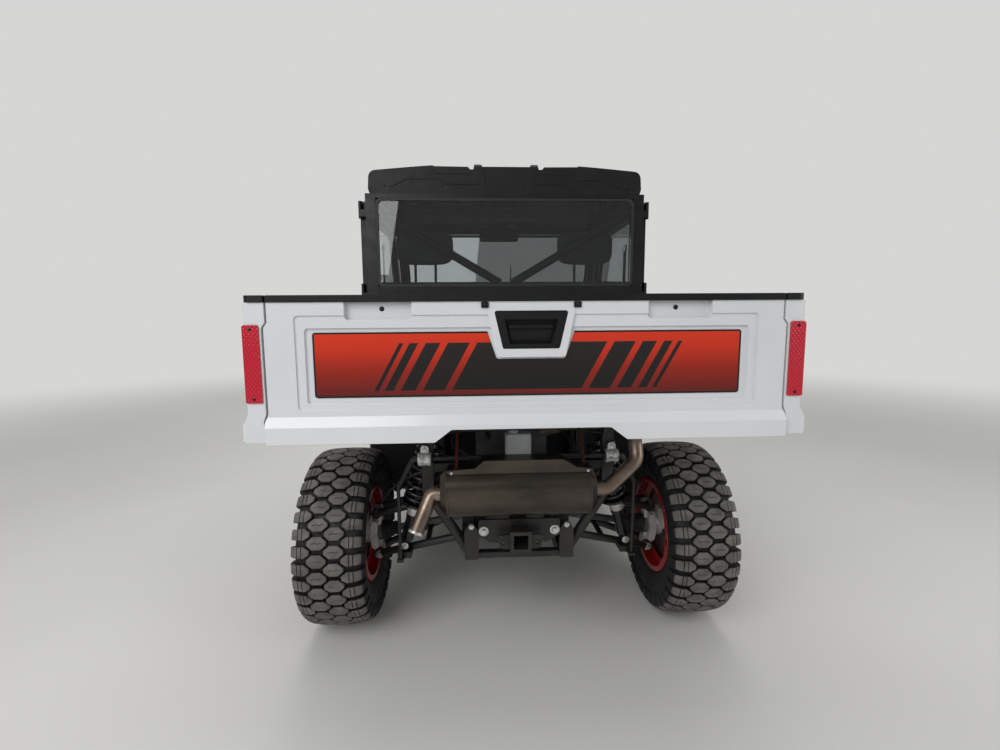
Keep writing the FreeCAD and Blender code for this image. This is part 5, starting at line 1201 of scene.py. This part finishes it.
class VEHICLE_OT_front_trim(bpy.types.Operator):
    """Grille mesh, lamp bezels and reflectors, skid bolts and fender lips"""
    bl_idname = "vehicle.front_trim"
    bl_label = "Front trim"

    def execute(self, context):
        mesh = []
        for x in np.linspace(-0.255, 0.255, 35):
            bar = [(x, -1.505, 0.550), (x, -1.507, 0.610), (x, -1.503, 0.680)]
            mesh.append(tube(bar, 0.0022, 6, ACROSS))
        for z in np.linspace(0.556, 0.674, 9):
            mesh.append(tube([(-0.262, -1.506, z), (0, -1.506, z), (0.262, -1.506, z)], 0.0022, 6))
        piece("grille_mesh", joined(*mesh), "chassis", "satin_black")
        bezel = rounded_outline([(0.282, 0.704, 0.014), (0.448, 0.723, 0.014), (0.460, 0.800, 0.014),
                                 (0.292, 0.788, 0.014)])
        ring, faces = framed(bezel, 0.009, 0.0, 0.010, 0.002)
        ring[:, 1] = -1.516 - ring[:, 1] + (ring[:, 2] - 0.700) * 0.22
        piece("headlamp_bezels", sided((ring, faces)), "chassis", "black_plastic")
        bolts = [bolt((x, -1.531 + (0.470 - z) * 0.330, z), (0, -0.95, -0.31), 0.015)
                 for x in (-0.175, 0.175) for z in (0.340, 0.440)]
        piece("skid_bolts", joined(*bolts), "chassis", "steel")
        turn = np.linspace(0.117, 0.772, 40) * math.pi
        arch = (FRONT_AXLE_Y, AXLE_Z) + FENDER_LIP_R * np.stack([np.cos(turn), np.sin(turn)], 1)
        piece("fender_lips", sided(tube(laid(arch, FENDER_LIP_X, "x"), 0.0075, 12, ACROSS)), "chassis",
              "black_plastic")
        bowls = []
        for x in (0.330, 0.405):
            bowls.append(revolved(LAMP_BOWL, (x, -1.476, 0.753), LAMP_AHEAD, 32, True))
            bowls.append(dome((x, -1.482, 0.754), LAMP_AHEAD, 0.007, 0.010))
        piece("headlamp_reflectors", sided(joined(*bowls)), "chassis", "mirror")
        return {"FINISHED"}


class VEHICLE_OT_hood_trim(bpy.types.Operator):
    """Raised middle and air vents of the hood"""
    bl_idname = "vehicle.hood_trim"
    bl_label = "Hood trim"

    def execute(self, context):
        y = np.array([-1.424, -1.416, -1.400, -1.250, -1.105, -0.930, -0.775, -0.760, -0.752])
        z = np.interp(y, [-1.440, -1.100, -0.712], [0.900, 1.002, 1.100])
        half = np.interp(y, [-1.424, -0.752], [0.255, 0.330])
        half[[0, -1]] -= 0.010
        rise = np.array([-0.002, 0.003, 0.007, 0.009, 0.009, 0.009, 0.007, 0.003, -0.002])
        across = np.array([-1, -0.955, -0.90, -0.45, 0.45, 0.90, 0.955, 1, 1, -1])
        level = np.array([-0.25, 0.55, 1, 1, 1, 1, 0.55, -0.25, -0.6, -0.6])
        rings = np.empty((len(y), len(across), 3))
        rings[..., 0] = half[:, None] * across
        rings[..., 1] = y[:, None]
        rings[..., 2] = z[:, None] + np.where(level > 0, rise[:, None] * level, 0.009 * level)
        piece("hood_bulge", lofted(rings), "hood", "body_white", smooth=30)
        slats = [block((-0.075, y - 0.0035, 0.004), (0.075, y + 0.0035, 0.010), 0.003, 0.0015, "z")
                 for y in (-0.022, -0.0073, 0.0073, 0.022)]
        vent = joined(plate(0.085, 0.034, -0.004, 0.005, 0.012, 0.002), *slats)
        vents = [turned_to(vent, (0, -0.245, 0.970), (x, -0.870, 1.0685)) for x in (-0.190, 0.190)]
        piece("hood_vents", joined(*vents), "hood", "black_plastic")
        return {"FINISHED"}


# What a user would change, and the frame's own finishes

def colour(name, description, code):
    """A colour property whose default is an sRGB hex value."""
    return bpy.props.FloatVectorProperty(name=name, description=description, subtype="COLOR", size=4,
                                         min=0.0, max=1.0, default=linear(code))


class VEHICLE_PG_looks(bpy.types.PropertyGroup):
    """Colours and sizes of the vehicle"""
    body_dark: colour("Body, darker", "Darker of the two colours of the body panels", "#D5D8DC")
    body_light: colour("Body, lighter", "Lighter of the two colours of the body panels", "#DDDFE1")
    rim_dark: colour("Rims, darker", "Darker of the two colours of the wheels' paint", "#860F14")
    rim_light: colour("Rims, lighter", "Lighter of the two colours of the wheels' paint", "#A0181A")
    lug_height: bpy.props.FloatProperty(
        name="Lug height", description="Height of the tyres' lugs over the carcass", default=0.019,
        precision=4, unit="LENGTH")
    wire_radius: bpy.props.FloatProperty(
        name="Spring wire", description="Radius of the coil springs' wire", default=0.0075, precision=4,
        unit="LENGTH")
    coil_turns: bpy.props.FloatProperty(
        name="Spring turns", description="Turns of each coil spring", default=7.3)


class VEHICLE_OT_finishes(bpy.types.Operator):
    """Finishes of the frame's own pieces"""
    bl_idname = "vehicle.finishes"
    bl_label = "Finishes"

    def execute(self, context):
        for part in frame["record"]["subparts"]:
            node, slot = part["node"], part["material_slot"]
            if slot == "rim_red":
                slot += "_front" if "front" in node else "_rear"
            elif node == "muffler":
                slot = "muffler"
            elif node in ("arms", "stabiliser", "bumper"):
                slot = "frame_black"
            slots = NODES[node].data.materials
            slots.clear()
            slots.append(finish(slot))
        return {"FINISHED"}


# Stage

CAMERA_AT = (0.1423, 2.7791, 1.204)
CAMERA_YAW = 0.0461
CAMERA_PITCH = 0.1144
CAMERA_ROLL = -0.0073
FOCAL_PX = 469.8
IMAGE_W_PX = 1000
SENSOR_MM = 36.0
AIM = Vector((0, 0.2, 0.9))
# Name, place and side of each lamp, with the setting that holds its power
LAMPS = (("key", (2.6, 4.6, 3.4), 3.2, "key_power"), ("fill", (-4.2, 3.0, 2.2), 3.0, "fill_power"),
         ("top", (0.0, -0.2, 5.0), 4.5, "top_power"), ("front", (1.5, -5.0, 3.0), 3.0, "fill_power"))


def look_matrix():
    """Camera axes from its yaw, pitch and roll: it looks towards -Y."""
    yaw, pitch, roll = CAMERA_YAW, CAMERA_PITCH, CAMERA_ROLL
    level = math.cos(pitch)
    forward = Vector((-math.sin(yaw) * level, -math.cos(yaw) * level, -math.sin(pitch)))
    right = forward.cross(Vector(UPWARD)).normalized()
    up = right.cross(forward)
    across = right * math.cos(roll) + up * math.sin(roll)
    upright = up * math.cos(roll) - right * math.sin(roll)
    matrix = Matrix((across, upright, -forward)).transposed().to_4x4()
    matrix.translation = CAMERA_AT
    return matrix


class VEHICLE_PG_stage(bpy.types.PropertyGroup):
    """Light and floor of the stage"""
    key_power: bpy.props.FloatProperty(
        name="Key power", description="Power of the large key lamp", default=125.0, unit="POWER")
    fill_power: bpy.props.FloatProperty(
        name="Fill power", description="Power of the fill and front lamps", default=45.0, unit="POWER")
    top_power: bpy.props.FloatProperty(
        name="Top power", description="Power of the overhead lamp", default=95.0, unit="POWER")
    floor_size: bpy.props.FloatProperty(
        name="Floor size", description="Side of the square floor", default=90.0, unit="LENGTH")


class VEHICLE_OT_stage(bpy.types.Operator):
    """Floor, lamps, world and camera"""
    bl_idname = "vehicle.stage"
    bl_label = "Stage"

    def execute(self, context):
        scene = context.scene
        settings = scene.vehicle_stage
        half = settings.floor_size / 2
        corners = [(-half, -half, 0), (half, -half, 0), (half, half, 0), (-half, half, 0)]
        mesh = bpy.data.meshes.new("studio_floor")
        mesh.from_pydata(corners, [], [(0, 1, 2, 3)])
        floor = bpy.data.objects.new("studio_floor", mesh)
        scene.collection.objects.link(floor)
        mesh.materials.append(pale_floor())
        for name, place, size, power in LAMPS:
            light = bpy.data.lights.new(name + "_softbox", "AREA")
            light.shape = "SQUARE"
            light.size = size
            light.energy = getattr(settings, power)
            lamp = bpy.data.objects.new(name + "_softbox", light)
            lamp.location = place
            lamp.rotation_euler = (AIM - lamp.location).to_track_quat("-Z", "Y").to_euler()
            scene.collection.objects.link(lamp)
        world = bpy.data.worlds.new("studio_world")
        scene.world = world
        world.use_nodes = True
        tree = world.node_tree
        rays = add(tree, "LightPath").outputs
        seen = add(tree, "Math", rays["Is Camera Ray"], rays["Is Transmission Ray"], operation="MAXIMUM")
        lit = add(tree, "MapRange", rays["Is Glossy Ray"], 0.0, 1.0, WORLD_LIT, WORLD_GLOSS)
        strength = add(tree, "Mix", seen.outputs[0], lit.outputs[0], WORLD_SEEN, data_type="FLOAT")
        background = tree.nodes["Background"]
        background.inputs["Color"].default_value = linear(WORLD_COLOUR)
        tree.links.new(strength.outputs[0], background.inputs["Strength"])
        camera = bpy.data.cameras.new("photo_camera")
        camera.sensor_width = SENSOR_MM
        camera.lens = FOCAL_PX / IMAGE_W_PX * SENSOR_MM
        camera.clip_end = 200.0
        viewer = bpy.data.objects.new("photo_camera", camera)
        viewer.matrix_world = look_matrix()
        scene.collection.objects.link(viewer)
        scene.camera = viewer
        scene.view_settings.view_transform = "Standard"
        return {"FINISHED"}


class VEHICLE_PT_build(bpy.types.Panel):
    """Lists the pieces that can be built"""
    bl_idname = "VEHICLE_PT_build"
    bl_label = "Side by side vehicle"
    bl_space_type = "VIEW_3D"
    bl_region_type = "UI"
    bl_category = "Vehicle"

    def draw(self, context):
        for group in (context.scene.vehicle_looks, context.scene.vehicle_stage):
            for name in type(group).__annotations__:
                self.layout.prop(group, name)
        for step in STEPS:
            self.layout.operator(step.bl_idname)


STEPS = (VEHICLE_OT_stage, VEHICLE_OT_finishes, VEHICLE_OT_tyres, VEHICLE_OT_wheel_trim, VEHICLE_OT_springs,
         VEHICLE_OT_seats, VEHICLE_OT_underbody, VEHICLE_OT_box_trim, VEHICLE_OT_cab_trim,
         VEHICLE_OT_door_trim, VEHICLE_OT_front_trim, VEHICLE_OT_hood_trim)
CLASSES = (VEHICLE_PG_looks, VEHICLE_PG_stage, *STEPS, VEHICLE_PT_build)


def register():
    for made in CLASSES:
        bpy.utils.register_class(made)
    bpy.types.Scene.vehicle_looks = bpy.props.PointerProperty(type=VEHICLE_PG_looks)
    bpy.types.Scene.vehicle_stage = bpy.props.PointerProperty(type=VEHICLE_PG_stage)


def unregister():
    del bpy.types.Scene.vehicle_looks
    del bpy.types.Scene.vehicle_stage
    for made in reversed(CLASSES):
        bpy.utils.unregister_class(made)


def main():
    register()
    for step in STEPS:
        group, name = step.bl_idname.split(".")
        getattr(getattr(bpy.ops, group), name)()


if __name__ == "__main__":
    main()
